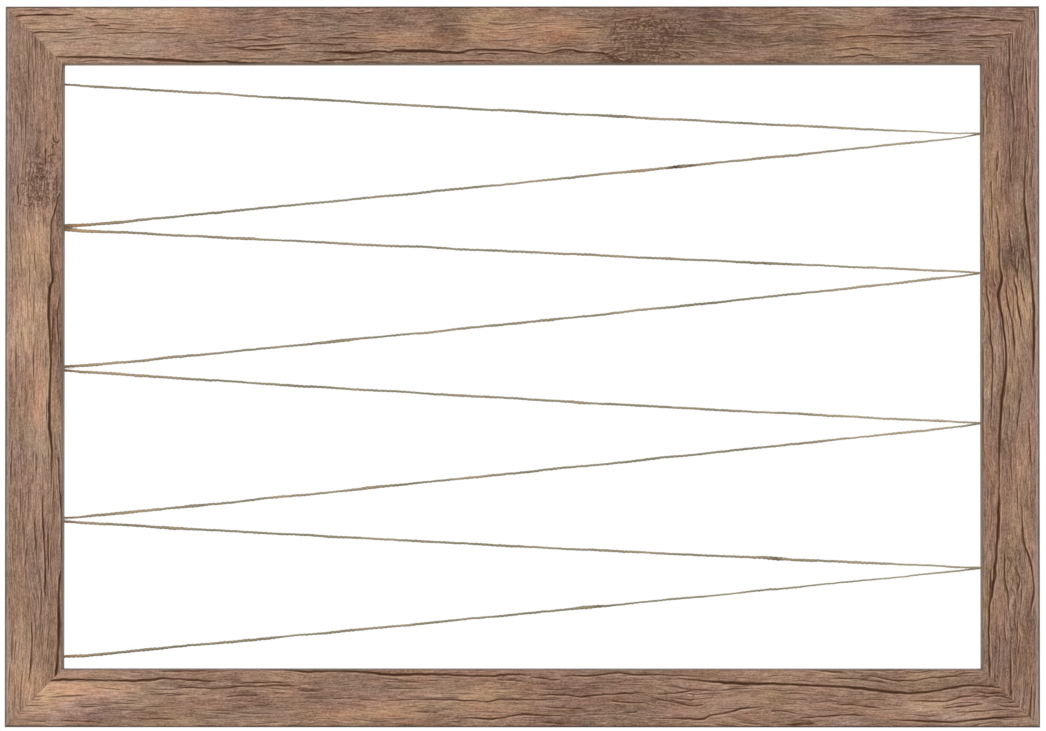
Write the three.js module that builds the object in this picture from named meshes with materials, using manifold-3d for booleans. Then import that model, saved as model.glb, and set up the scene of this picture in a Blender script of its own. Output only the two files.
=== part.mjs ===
// Wall frame with one jute twine laced to and fro across its open middle, for clipping photos to.
// Millimetres. X runs right, Z runs up, the front looks along -Y and the wall is on the +Y side.

import * as THREE from 'three';
import { mergeVertices } from 'three/addons/utils/BufferGeometryUtils.js';
import Module from 'manifold-3d';

const wasm = await Module();
wasm.setup();

// Frame
const frameWidth = 660;
const frameHeight = 460;
const railWidth = 37;
const railDepth = 19;
const lipDepth = 10;
const rabbetWidth = 8;
const arrisRadius = 1.1;
const arrisSteps = 3;
const mitreGap = 0.3;

// Clearance between pieces that touch, and how far a cutter runs past what it cuts
const seatGap = 0.3;
const overrun = 1;

// V-nails that hold each mitre together from behind
const vNailLeg = 5.5;
const vNailSheet = 0.6;
const vNailDepth = 8;
const vNailBackFaceShares = [0.3, 0.68];

// Twine, and the heights at which it turns, as shares of half the opening's height
const twineDiameter = 1.6;
const twineSides = 8;
const strandGap = 0.5;
const twineSag = 0.5;
const turnSteps = 6;
const turnInset = 5;
const leftTurnShares = [0.938, 0.462, -0.006, -0.508, -0.962];
const rightTurnShares = [0.774, 0.311, -0.187, -0.667];
const knotRadius = 2;

// Staples that pin the twine to the ledge of the rabbet
const stapleCrown = 10.6;
const stapleWireWidth = 1.25;
const stapleWireThickness = 0.5;
const stapleLeg = 8;
const stapleTip = 1;
const stapleInset = 2.4;

// Hangers: a strip folded round the bar of a D ring, and one screw
const hangerDrop = 50;
const ringWire = 1.8;
const ringReach = 11;
const ringBend = 1.5;
const ringWireSides = 10;
const ringBendSteps = 3;
const ringArcSteps = 10;
const ringBarClearance = 0.3;
const ringSideClearance = 0.4;
const stripWidth = 8;
const stripThickness = 0.5;
const stripLength = 23;
const knuckleSteps = 16;
const stripEndSteps = 8;
const screwHeadRadius = 3;
const screwHeadHeight = 2;
const screwRimHeight = 0.6;
const screwShankRadius = 1.5;
const screwLength = 12;
const screwPoint = 3;
const screwSides = 20;
const screwRecessSpan = 3.2;
const screwRecessWidth = 0.8;
const screwRecessDepth = 1;

// Rubber bumpers that keep the lower edge off the wall
const bumperRadius = 5;
const bumperFaceRadius = 3.8;
const bumperWallShare = 0.35;
const bumperInset = 45;
const bumperSides = 24;

// Places that follow from the sizes above
const openingHalfWidth = frameWidth / 2 - railWidth;
const openingHalfHeight = frameHeight / 2 - railWidth;
const knuckleRadius = ringWire / 2 + ringBarClearance + stripThickness;
const standOff = seatGap + 2 * knuckleRadius;
const frontY = -(railDepth + standOff) / 2;
const backY = frontY + railDepth;
const ledgeY = frontY + lipDepth;
const backFaceWidth = railWidth - rabbetWidth;
const strandPitch = twineDiameter + strandGap;
const twineY = ledgeY + seatGap + twineDiameter / 2;
const hangerX = frameWidth / 2 - backFaceWidth / 2;
const hangerZ = frameHeight / 2 - hangerDrop;

const material = (color, roughness, metalness) =>
  new THREE.MeshStandardMaterial({ color, roughness, metalness });
const barnWood = material(0x967863, 0.62, 0);
const jute = material(0x9c8a6d, 0.95, 0);
const brightSteel = material(0xb9bbbd, 0.35, 1);
const zincSteel = material(0xc3c6c8, 0.3, 1);
const blackRubber = material(0x3a3a3c, 0.8, 0);

const object = new THREE.Group();

function addMesh(name, geometry, meshMaterial, position = [0, 0, 0], turn = [0, 0, 0]) {
  const mesh = new THREE.Mesh(geometry, meshMaterial);
  mesh.name = name;
  mesh.position.set(...position);
  mesh.rotation.set(...turn);
  mesh.updateMatrixWorld();
  object.add(mesh);
  return mesh;
}

// Solid cuts

function toSolid(geometry) {
  const bare = geometry.clone();
  bare.deleteAttribute('normal');
  bare.deleteAttribute('uv');
  const merged = mergeVertices(bare);
  const vertProperties = new Float32Array(merged.attributes.position.array);
  const triVerts = new Uint32Array(merged.index.array);
  return new wasm.Manifold(new wasm.Mesh({ numProp: 3, vertProperties, triVerts }));
}

function toGeometry(solid) {
  const mesh = solid.getMesh();
  const geometry = new THREE.BufferGeometry();
  geometry.setAttribute('position', new THREE.BufferAttribute(new Float32Array(mesh.vertProperties), 3));
  geometry.setIndex(new THREE.BufferAttribute(new Uint32Array(mesh.triVerts), 1));
  geometry.computeVertexNormals();
  return geometry;
}

function subtractAll(geometry, cutters) {
  let solid = toSolid(geometry);
  for (const cutter of cutters) {
    solid = solid.subtract(toSolid(cutter));
  }
  return toGeometry(solid);
}

const intersect = (a, b) => toGeometry(toSolid(a).intersect(toSolid(b)));

// An outline is drawn flat and pushed along its normal. The axes say where its own x and y go.

function pushedOutline(points, length, xAxis, yAxis, holes = []) {
  const shape = new THREE.Shape(points.map(([x, y]) => new THREE.Vector2(x, y)));
  shape.holes = holes.map((hole) => new THREE.Path(hole.map(([x, y]) => new THREE.Vector2(x, y))));
  const geometry = new THREE.ExtrudeGeometry(shape, { depth: length, bevelEnabled: false });
  geometry.translate(0, 0, -length / 2);
  const across = new THREE.Vector3(...xAxis);
  const up = new THREE.Vector3(...yAxis);
  const along = new THREE.Vector3().crossVectors(across, up);
  return geometry.applyMatrix4(new THREE.Matrix4().makeBasis(across, up, along));
}

function arcPoints(centreX, centreY, radius, startAngle, endAngle, steps) {
  return Array.from({ length: steps + 1 }, (_, step) => {
    const angle = startAngle + ((endAngle - startAngle) * step) / steps;
    return [centreX + radius * Math.cos(angle), centreY + radius * Math.sin(angle)];
  });
}

// Rails: one moulding, cut to four lengths. Its outline runs inwards from the outer edge, front at y = 0.

function mouldingOutline() {
  const inner = railWidth - arrisRadius;
  return [
    [0, railDepth],
    ...arcPoints(arrisRadius, arrisRadius, arrisRadius, Math.PI, 1.5 * Math.PI, arrisSteps),
    ...arcPoints(inner, arrisRadius, arrisRadius, 1.5 * Math.PI, 2 * Math.PI, arrisSteps),
    [railWidth, lipDepth],
    [backFaceWidth, lipDepth],
    [backFaceWidth, railDepth],
  ];
}

// A rail as it lies along the top edge, with both ends mitred
function mitredRail(length, outerZ) {
  const moulding = pushedOutline(mouldingOutline(), length, [0, 0, -1], [0, 1, 0]);
  moulding.translate(0, frontY, outerZ);
  const end = length / 2 - mitreGap / Math.SQRT2;
  const mitres = [
    [-end - overrun, outerZ + overrun],
    [end + overrun, outerZ + overrun],
    [end - railWidth - overrun, outerZ - railWidth - overrun],
    [-end + railWidth + overrun, outerZ - railWidth - overrun],
  ];
  const block = pushedOutline(mitres, railDepth + 2 * overrun, [1, 0, 0], [0, 0, 1]);
  block.translate(0, (frontY + backY) / 2, 0);
  return intersect(moulding, block);
}

// V-nails: a sheet folded at right angles on the mitre, one leg in each rail

function vNail(clearance) {
  const low = -clearance;
  const high = vNailSheet + clearance;
  const end = vNailLeg + clearance;
  const outline = [[low, low], [end, low], [end, high], [high, high], [high, end], [low, end]];
  return pushedOutline(outline, vNailDepth + clearance, [1, 0, 0], [0, 0, 1]);
}

const corners = [
  { name: 'lower_left', x: -1, z: -1, turn: 0 },
  { name: 'lower_right', x: 1, z: -1, turn: -Math.PI / 2 },
  { name: 'upper_right', x: 1, z: 1, turn: Math.PI },
  { name: 'upper_left', x: -1, z: 1, turn: Math.PI / 2 },
];

function vNailPlaces() {
  const bend = vNailSheet / 2;
  return corners.flatMap((corner) =>
    vNailBackFaceShares.map((share, index) => ({
      name: `v_nail_${corner.name}_${index + 1}`,
      turn: [0, corner.turn, 0],
      position: [
        corner.x * (frameWidth / 2 - backFaceWidth * share + bend),
        backY - vNailDepth / 2,
        corner.z * (frameHeight / 2 - backFaceWidth * share + bend),
      ],
    })),
  );
}

function vNailPockets() {
  return vNailPlaces().map((place) => {
    const pocket = vNail(seatGap);
    pocket.translate(0, seatGap / 2, 0);
    pocket.rotateY(place.turn[1]);
    return pocket.translate(...place.position);
  });
}

// Staples: the crown bridges the strands, the legs go into the lip

function staplePlaces() {
  const turnPlaces = (side, word, shares, layers) =>
    shares.map((share, index) => ({
      name: `staple_${word}_${index + 1}`,
      x: side * (openingHalfWidth + stapleInset),
      z: share * openingHalfHeight,
      rise: 2 * seatGap + twineDiameter + (layers - 1) * strandPitch,
    }));
  return [
    ...turnPlaces(-1, 'left', leftTurnShares, 1),
    ...turnPlaces(1, 'right', rightTurnShares, 2),
  ];
}

function staple(rise) {
  const half = stapleCrown / 2;
  const inner = half - stapleWireThickness;
  const top = rise + stapleWireThickness;
  const foot = top - stapleLeg;
  const outline = [
    [-half, foot], [-inner, foot + stapleTip], [-inner, rise], [inner, rise],
    [inner, foot + stapleTip], [half, foot], [half, top], [-half, top],
  ];
  return pushedOutline(outline, stapleWireWidth, [0, 0, 1], [0, 1, 0]);
}

function stapleHoles(place) {
  const depth = stapleLeg - place.rise - stapleWireThickness + seatGap;
  const legOffset = (stapleCrown - stapleWireThickness) / 2;
  return [-1, 1].map((side) => {
    const hole = new THREE.BoxGeometry(
      stapleWireWidth + 2 * seatGap,
      depth + overrun,
      stapleWireThickness + 2 * seatGap,
    );
    return hole.translate(place.x, ledgeY - (depth - overrun) / 2, place.z + side * legOffset);
  });
}

// Hangers, drawn about the ring's hinge axis. The strip runs down from it and lies on the back of a stile.

const stripTop = 2 * stripThickness - knuckleRadius;
const stripBottom = -knuckleRadius;
const screwZ = -(stripLength - stripWidth / 2);
const hingeY = backY + seatGap + knuckleRadius;

function hangerStrip() {
  const meeting = Math.PI - Math.asin(stripTop / knuckleRadius);
  const outline = [
    [-stripLength, stripBottom],
    ...arcPoints(0, 0, knuckleRadius, -Math.PI / 2, meeting, knuckleSteps),
    [-stripLength, stripTop],
  ];
  const bore = arcPoints(0, 0, ringWire / 2 + ringBarClearance, 0, -2 * Math.PI, knuckleSteps).slice(1);
  const folded = pushedOutline(outline, stripWidth, [0, 0, 1], [0, 1, 0], [bore]);
  const plan = [
    [stripWidth / 2, knuckleRadius + overrun],
    [-stripWidth / 2, knuckleRadius + overrun],
    ...arcPoints(0, screwZ, stripWidth / 2, Math.PI, 2 * Math.PI, stripEndSteps),
  ];
  const rounded = pushedOutline(plan, 2 * (knuckleRadius + overrun), [1, 0, 0], [0, 0, 1]);
  const hole = new THREE.CylinderGeometry(
    screwShankRadius + seatGap,
    screwShankRadius + seatGap,
    2 * (knuckleRadius + overrun),
    screwSides,
  );
  hole.translate(0, 0, screwZ);
  return subtractAll(intersect(folded, rounded), [hole]);
}

// The ring's centre line in its own plane: the bar, two bends, two straight sides and the round end
function ringLine() {
  const half = stripWidth / 2 + ringSideClearance + ringWire / 2;
  const bendX = half - ringBend;
  const arcZ = half - ringReach;
  return [
    ...arcPoints(bendX, -ringBend, ringBend, Math.PI / 2, 0, ringBendSteps),
    ...arcPoints(0, arcZ, half, 0, -Math.PI, ringArcSteps),
    ...arcPoints(-bendX, -ringBend, ringBend, Math.PI, Math.PI / 2, ringBendSteps),
  ];
}

// A round wire bent along a closed flat line in X and Z
function closedWire(line, radius, sides) {
  const count = line.length;
  const positions = [];
  for (let i = 0; i < count; i += 1) {
    const [x, z] = line[i];
    const [lastX, lastZ] = line[(i + count - 1) % count];
    const [nextX, nextZ] = line[(i + 1) % count];
    const back = new THREE.Vector2(x - lastX, z - lastZ).normalize();
    const ahead = new THREE.Vector2(nextX - x, nextZ - z).normalize();
    const way = back.add(ahead).normalize();
    for (let side = 0; side < sides; side += 1) {
      const angle = (2 * Math.PI * side) / sides;
      const out = radius * Math.cos(angle);
      positions.push(x + way.y * out, radius * Math.sin(angle), z - way.x * out);
    }
  }
  const index = [];
  for (let i = 0; i < count; i += 1) {
    const here = i * sides;
    const next = ((i + 1) % count) * sides;
    for (let side = 0; side < sides; side += 1) {
      const other = (side + 1) % sides;
      index.push(here + side, here + other, next + side, here + other, next + other, next + side);
    }
  }
  const geometry = new THREE.BufferGeometry();
  geometry.setAttribute('position', new THREE.Float32BufferAttribute(positions, 3));
  geometry.setIndex(index);
  geometry.computeVertexNormals();
  return geometry;
}

// At rest the ring leans out from the strip by as much as its round end needs to lie on it
function ringLean() {
  const endHeight = stripTop + seatGap + ringWire / 2;
  return Math.asin(endHeight / ringReach);
}

function panHeadScrew() {
  const outline = [
    [0, -screwLength],
    [screwShankRadius, screwPoint - screwLength],
    [screwShankRadius, 0],
    [screwHeadRadius, 0],
    [screwHeadRadius, screwRimHeight],
    [screwHeadRadius - (screwHeadHeight - screwRimHeight) / 2, screwHeadHeight - screwRimHeight / 2],
    [screwRecessSpan / 2, screwHeadHeight],
    [0, screwHeadHeight],
  ];
  const turned = new THREE.LatheGeometry(outline.map(([r, y]) => new THREE.Vector2(r, y)), screwSides);
  const recess = [[screwRecessSpan, screwRecessWidth], [screwRecessWidth, screwRecessSpan]];
  const slots = recess.map(([spanX, spanZ]) => {
    const slot = new THREE.BoxGeometry(spanX, screwRecessDepth + overrun, spanZ);
    return slot.translate(0, screwHeadHeight - (screwRecessDepth - overrun) / 2, 0);
  });
  return subtractAll(turned, slots);
}

function screwHole(x) {
  const depth = screwLength + seatGap;
  const radius = screwShankRadius + seatGap;
  const hole = new THREE.CylinderGeometry(radius, radius, depth + overrun, screwSides);
  return hole.translate(x, backY - (depth - overrun) / 2, hangerZ + screwZ);
}

// Bumper: a short cone of rubber with a flat face towards the wall
function bumper() {
  const height = standOff - seatGap;
  const outline = [
    [0, 0],
    [bumperRadius, 0],
    [bumperRadius, bumperWallShare * height],
    [bumperFaceRadius, height],
    [0, height],
  ];
  return new THREE.LatheGeometry(outline.map(([r, y]) => new THREE.Vector2(r, y)), bumperSides);
}

// Twine: a line through chosen stations, with a section at each one

class StationLine extends THREE.Curve {
  constructor(stations) {
    super();
    this.stations = stations;
  }

  getPointAt(share) {
    const index = Math.round(share * (this.stations.length - 1));
    return this.stations[index].clone();
  }

  getTangentAt(share) {
    const last = this.stations.length - 1;
    const index = Math.round(share * last);
    const here = this.stations[index];
    const before = here.clone().sub(this.stations[Math.max(index - 1, 0)]).normalize();
    const after = this.stations[Math.min(index + 1, last)].clone().sub(here).normalize();
    return before.add(after).normalize();
  }
}

// On the left the strands lie side by side, so the twine turns in the plane of the ledge
function leftTurn(share) {
  const z = share * openingHalfHeight;
  const turnX = -(openingHalfWidth + turnInset);
  const pinX = -(openingHalfWidth + stapleInset);
  const half = strandPitch / 2;
  const arc = arcPoints(turnX, z, half, Math.PI / 2, 1.5 * Math.PI, turnSteps);
  return [
    new THREE.Vector3(pinX, twineY, z + half),
    ...arc.map(([x, arcZ]) => new THREE.Vector3(x, twineY, arcZ)),
    new THREE.Vector3(pinX, twineY, z - half),
  ];
}

// On the right the twine is folded back over itself, so it turns away from the ledge
function rightTurn(share) {
  const z = share * openingHalfHeight;
  const turnX = openingHalfWidth + turnInset;
  const pinX = openingHalfWidth + stapleInset;
  const half = strandPitch / 2;
  const arc = arcPoints(turnX, twineY + half, half, -Math.PI / 2, Math.PI / 2, turnSteps);
  return [
    new THREE.Vector3(pinX, twineY, z),
    ...arc.map(([x, arcY]) => new THREE.Vector3(x, arcY, z)),
    new THREE.Vector3(pinX, twineY + strandPitch, z),
  ];
}

// An end passes under its staple and stops at its knot
function twineEnd(share) {
  const z = share * openingHalfHeight;
  const knotFace = openingHalfWidth + stapleInset + stapleWireWidth / 2 + seatGap;
  return [
    new THREE.Vector3(-knotFace, twineY, z),
    new THREE.Vector3(-(openingHalfWidth + stapleInset), twineY, z),
  ];
}

function sagBetween(start, end) {
  const middle = start.clone().lerp(end, 1 / 2);
  middle.z -= twineSag;
  return middle;
}

function twineStations() {
  const turns = [twineEnd(leftTurnShares[0])];
  rightTurnShares.forEach((share, index) => {
    turns.push(rightTurn(share));
    const nextShare = leftTurnShares[index + 1];
    const isLast = index === rightTurnShares.length - 1;
    turns.push(isLast ? twineEnd(nextShare).reverse() : leftTurn(nextShare));
  });
  return turns.reduce((line, turn) => [...line, sagBetween(line.at(-1), turn[0]), ...turn]);
}

function twineGeometry(stations) {
  const section = arcPoints(0, 0, twineDiameter / 2, 0, 2 * Math.PI, twineSides).slice(1);
  const shape = new THREE.Shape(section.map(([x, y]) => new THREE.Vector2(x, y)));
  return new THREE.ExtrudeGeometry(shape, {
    steps: stations.length - 1,
    extrudePath: new StationLine(stations),
    bevelEnabled: false,
  });
}

function addTwine() {
  const stations = twineStations();
  addMesh('twine', twineGeometry(stations), jute);
  const knotX = openingHalfWidth + stapleInset + stapleWireWidth / 2 + 2 * seatGap + knotRadius;
  const ends = { upper_knot: leftTurnShares[0], lower_knot: leftTurnShares.at(-1) };
  for (const [name, share] of Object.entries(ends)) {
    const knot = new THREE.SphereGeometry(knotRadius, twineSides, twineSides / 2);
    addMesh(name, knot, jute, [-knotX, ledgeY + seatGap + knotRadius, share * openingHalfHeight]);
  }
}

function addRails() {
  const pockets = vNailPockets();
  const leftHoles = staplePlaces().filter((place) => place.x < 0).flatMap(stapleHoles);
  const rightHoles = staplePlaces().filter((place) => place.x > 0).flatMap(stapleHoles);
  const rails = [
    { name: 'top_rail', length: frameWidth, outer: frameHeight / 2, turn: 0, holes: [] },
    { name: 'bottom_rail', length: frameWidth, outer: frameHeight / 2, turn: Math.PI, holes: [] },
    {
      name: 'right_stile', length: frameHeight, outer: frameWidth / 2, turn: Math.PI / 2,
      holes: [...rightHoles, screwHole(hangerX)],
    },
    {
      name: 'left_stile', length: frameHeight, outer: frameWidth / 2, turn: -Math.PI / 2,
      holes: [...leftHoles, screwHole(-hangerX)],
    },
  ];
  for (const rail of rails) {
    const blank = mitredRail(rail.length, rail.outer).rotateY(rail.turn);
    addMesh(rail.name, subtractAll(blank, [...pockets, ...rail.holes]), barnWood);
  }
}

function addFasteners() {
  for (const place of vNailPlaces()) {
    addMesh(place.name, vNail(0), brightSteel, place.position, place.turn);
  }
  for (const place of staplePlaces()) {
    addMesh(place.name, staple(place.rise), brightSteel, [place.x, ledgeY, place.z]);
  }
}

function addHangers() {
  for (const [word, side] of [['left', -1], ['right', 1]]) {
    const hinge = [side * hangerX, hingeY, hangerZ];
    addMesh(`${word}_hanger_strip`, hangerStrip(), zincSteel, hinge);
    const ring = closedWire(ringLine(), ringWire / 2, ringWireSides);
    addMesh(`${word}_hanger_ring`, ring, zincSteel, hinge, [ringLean(), 0, 0]);
    const headSeat = hingeY + stripTop + seatGap;
    const screwPlace = [side * hangerX, headSeat, hangerZ + screwZ];
    addMesh(`${word}_hanger_screw`, panHeadScrew(), zincSteel, screwPlace);
    const bumperX = side * (frameWidth / 2 - bumperInset);
    const bumperZ = -(frameHeight / 2 - backFaceWidth / 2);
    addMesh(`${word}_bumper`, bumper(), blackRubber, [bumperX, backY + seatGap, bumperZ]);
  }
}

addRails();
addFasteners();
addTwine();
addHangers();

export default object;
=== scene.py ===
import math
import random

import bmesh
import bpy
import numpy as np
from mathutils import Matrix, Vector


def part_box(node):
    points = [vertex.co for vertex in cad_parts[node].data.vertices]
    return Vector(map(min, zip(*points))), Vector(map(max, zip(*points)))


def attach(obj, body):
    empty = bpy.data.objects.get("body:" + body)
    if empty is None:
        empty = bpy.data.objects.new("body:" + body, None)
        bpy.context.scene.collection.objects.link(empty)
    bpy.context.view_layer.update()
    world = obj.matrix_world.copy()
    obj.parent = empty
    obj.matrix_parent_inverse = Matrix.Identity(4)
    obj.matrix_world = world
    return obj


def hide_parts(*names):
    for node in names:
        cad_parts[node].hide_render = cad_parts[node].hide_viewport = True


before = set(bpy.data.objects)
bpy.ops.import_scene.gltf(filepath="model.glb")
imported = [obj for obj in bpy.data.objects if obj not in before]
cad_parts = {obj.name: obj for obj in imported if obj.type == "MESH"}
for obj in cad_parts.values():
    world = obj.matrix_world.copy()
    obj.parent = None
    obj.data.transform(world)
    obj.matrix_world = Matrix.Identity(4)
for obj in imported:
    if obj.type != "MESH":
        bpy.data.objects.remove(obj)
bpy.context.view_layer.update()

MM = 0.001
TURN = 2 * math.pi

# Sizes of the frame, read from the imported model
HALF_WIDTH = -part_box("left_stile")[0].x
TOP_LOW, TOP_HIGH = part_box("top_rail")
HALF_HEIGHT = TOP_HIGH.z
RAIL_WIDTH = TOP_HIGH.z - TOP_LOW.z
FRONT_Y = TOP_LOW.y
RAIL_DEPTH = TOP_HIGH.y - FRONT_Y
OPENING_HALF_WIDTH = HALF_WIDTH - RAIL_WIDTH
OPENING_HALF_HEIGHT = HALF_HEIGHT - RAIL_WIDTH

# Moulding
LIP_DEPTH = 10 * MM
RABBET_WIDTH = 8 * MM
ARRIS_RADIUS = 1.1 * MM
LEDGE_Y = FRONT_Y + LIP_DEPTH
SEAT_GAP = 0.3 * MM

# Twine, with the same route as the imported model's. Turns lie at shares of the opening's half height
TWINE_DIAMETER = 1.6 * MM
STRAND_PITCH = 2.1 * MM
TWINE_SAG = 0.5 * MM
STAPLE_INSET = 2.4 * MM
TURN_INSET = 5 * MM
STAPLE_WIRE_WIDTH = 1.25 * MM
PIN_X = OPENING_HALF_WIDTH + STAPLE_INSET
TURN_X = OPENING_HALF_WIDTH + TURN_INSET
TWINE_Y = LEDGE_Y + SEAT_GAP + TWINE_DIAMETER / 2
LEFT_TURN_SHARES = [0.938, 0.462, -0.006, -0.508, -0.962]
RIGHT_TURN_SHARES = [0.774, 0.311, -0.187, -0.667]


# Small tools

def linear(red, green, blue):
    """A screen colour, 0 to 255, as the numbers that a shader takes"""
    parts = [value / 255 for value in (red, green, blue)]
    return [p / 12.92 if p <= 0.04045 else ((p + 0.055) / 1.055) ** 2.4 for p in parts] + [1.0]


def wander(x, y, length, seed):
    """A smooth random field, mostly from -1 to 1, whose waves are about that long"""
    generator = np.random.default_rng(seed)
    total = np.zeros(np.broadcast(x, y).shape)
    waves = 7
    for _ in range(waves):
        turn, phase = generator.uniform(0, TURN, 2)
        reach = length * generator.uniform(0.6, 1.6)
        total += np.sin(TURN / reach * (x * math.cos(turn) + y * math.sin(turn)) + phase)
    return total / math.sqrt(waves)


def ease(value, low, high):
    """0 at low, 1 at high, and a smooth change between"""
    share = np.clip((value - low) / (high - low), 0, 1)
    return share * share * (3 - 2 * share)


def arc(centre_x, centre_y, radius, start, end, steps):
    """Points on part of a circle, from one angle to another"""
    angles = np.linspace(start, end, steps + 1)
    return [(centre_x + radius * math.cos(a), centre_y + radius * math.sin(a)) for a in angles]


def smooth_line(points, steps):
    """A smooth line through the points"""
    points = np.asarray(points, float)
    padded = np.concatenate([[2 * points[0] - points[1]], points, [2 * points[-1] - points[-2]]])
    share = (np.arange(steps) / steps)[:, None]
    line = []
    for before, start, end, after in zip(padded, padded[1:], padded[2:], padded[3:]):
        line.append(0.5 * (2 * start + (end - before) * share
                           + (2 * before - 5 * start + 4 * end - after) * share ** 2
                           + (3 * start - before - 3 * end + after) * share ** 3))
    return np.concatenate([*line, points[-1:]])


def ring_faces(rows, sides, first=0, closed=False):
    """Faces between rows of points that each go once round, numbered row by row. Unless the rows close on
    themselves, the first and the last are filled"""
    count = rows if closed else rows - 1
    row, side = np.meshgrid(np.arange(count), np.arange(sides), indexing="ij")
    ahead = (row + 1) % rows
    beside = (side + 1) % sides
    corners = [row * sides + side, row * sides + beside, ahead * sides + beside, ahead * sides + side]
    faces = (first + np.stack(corners, -1).reshape(-1, 4)).tolist()
    if not closed:
        faces += [list(range(end, end + sides)) for end in (first, first + count * sides)]
    return faces


def new_object(name, data):
    """An object in the scene, which rides on nothing yet"""
    made = bpy.data.objects.new(name, data)
    bpy.context.scene.collection.objects.link(made)
    return made


def piece(name, points, faces, material, body="frame", slot=None, stands_for=(), sharp=35, fields=None):
    """A mesh object that rides on a CAD body. fields are numbers or vectors kept on its points"""
    mesh = bpy.data.meshes.new(name)
    mesh.from_pydata(np.asarray(points, float).tolist(), [], faces)
    for field, values in (fields or {}).items():
        values = np.asarray(values, np.float32)
        kind, key = ("FLOAT", "value") if values.ndim == 1 else ("FLOAT_VECTOR", "vector")
        mesh.attributes.new(field, kind, "POINT").data.foreach_set(key, values.ravel())
    shape = bmesh.new()
    shape.from_mesh(mesh)
    bmesh.ops.recalc_face_normals(shape, faces=shape.faces)
    shape.to_mesh(mesh)
    shape.free()
    mesh.shade_smooth()
    mesh.set_sharp_from_angle(angle=math.radians(sharp))
    mesh.materials.append(material)
    made = new_object(name, mesh)
    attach(made, body)
    if stands_for:
        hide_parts(*stands_for)
    return made


# Dashes of the print: their lean, their taper, and how far outside its line a missing one lies
DASH_LEAN = 0.09
DASH_TAPER = 5.5
DASH_MISSING = 3.0


class Nodes:
    """The nodes of a world or a material, wired by short calls. Inputs are sockets, numbers or colours"""

    def __init__(self, owner):
        owner.use_nodes = True
        self.tree = owner.node_tree
        self.tree.nodes.clear()

    def put(self, value, socket):
        if isinstance(value, bpy.types.NodeSocket):
            self.tree.links.new(value, socket)
        else:
            socket.default_value = value

    def add(self, kind, inputs=None, **settings):
        """A node. Its inputs are given by name or by number"""
        node = self.tree.nodes.new(kind)
        for key, value in settings.items():
            setattr(node, key, value)
        for key, value in (inputs or {}).items():
            self.put(value, node.inputs[key])
        return node


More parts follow.
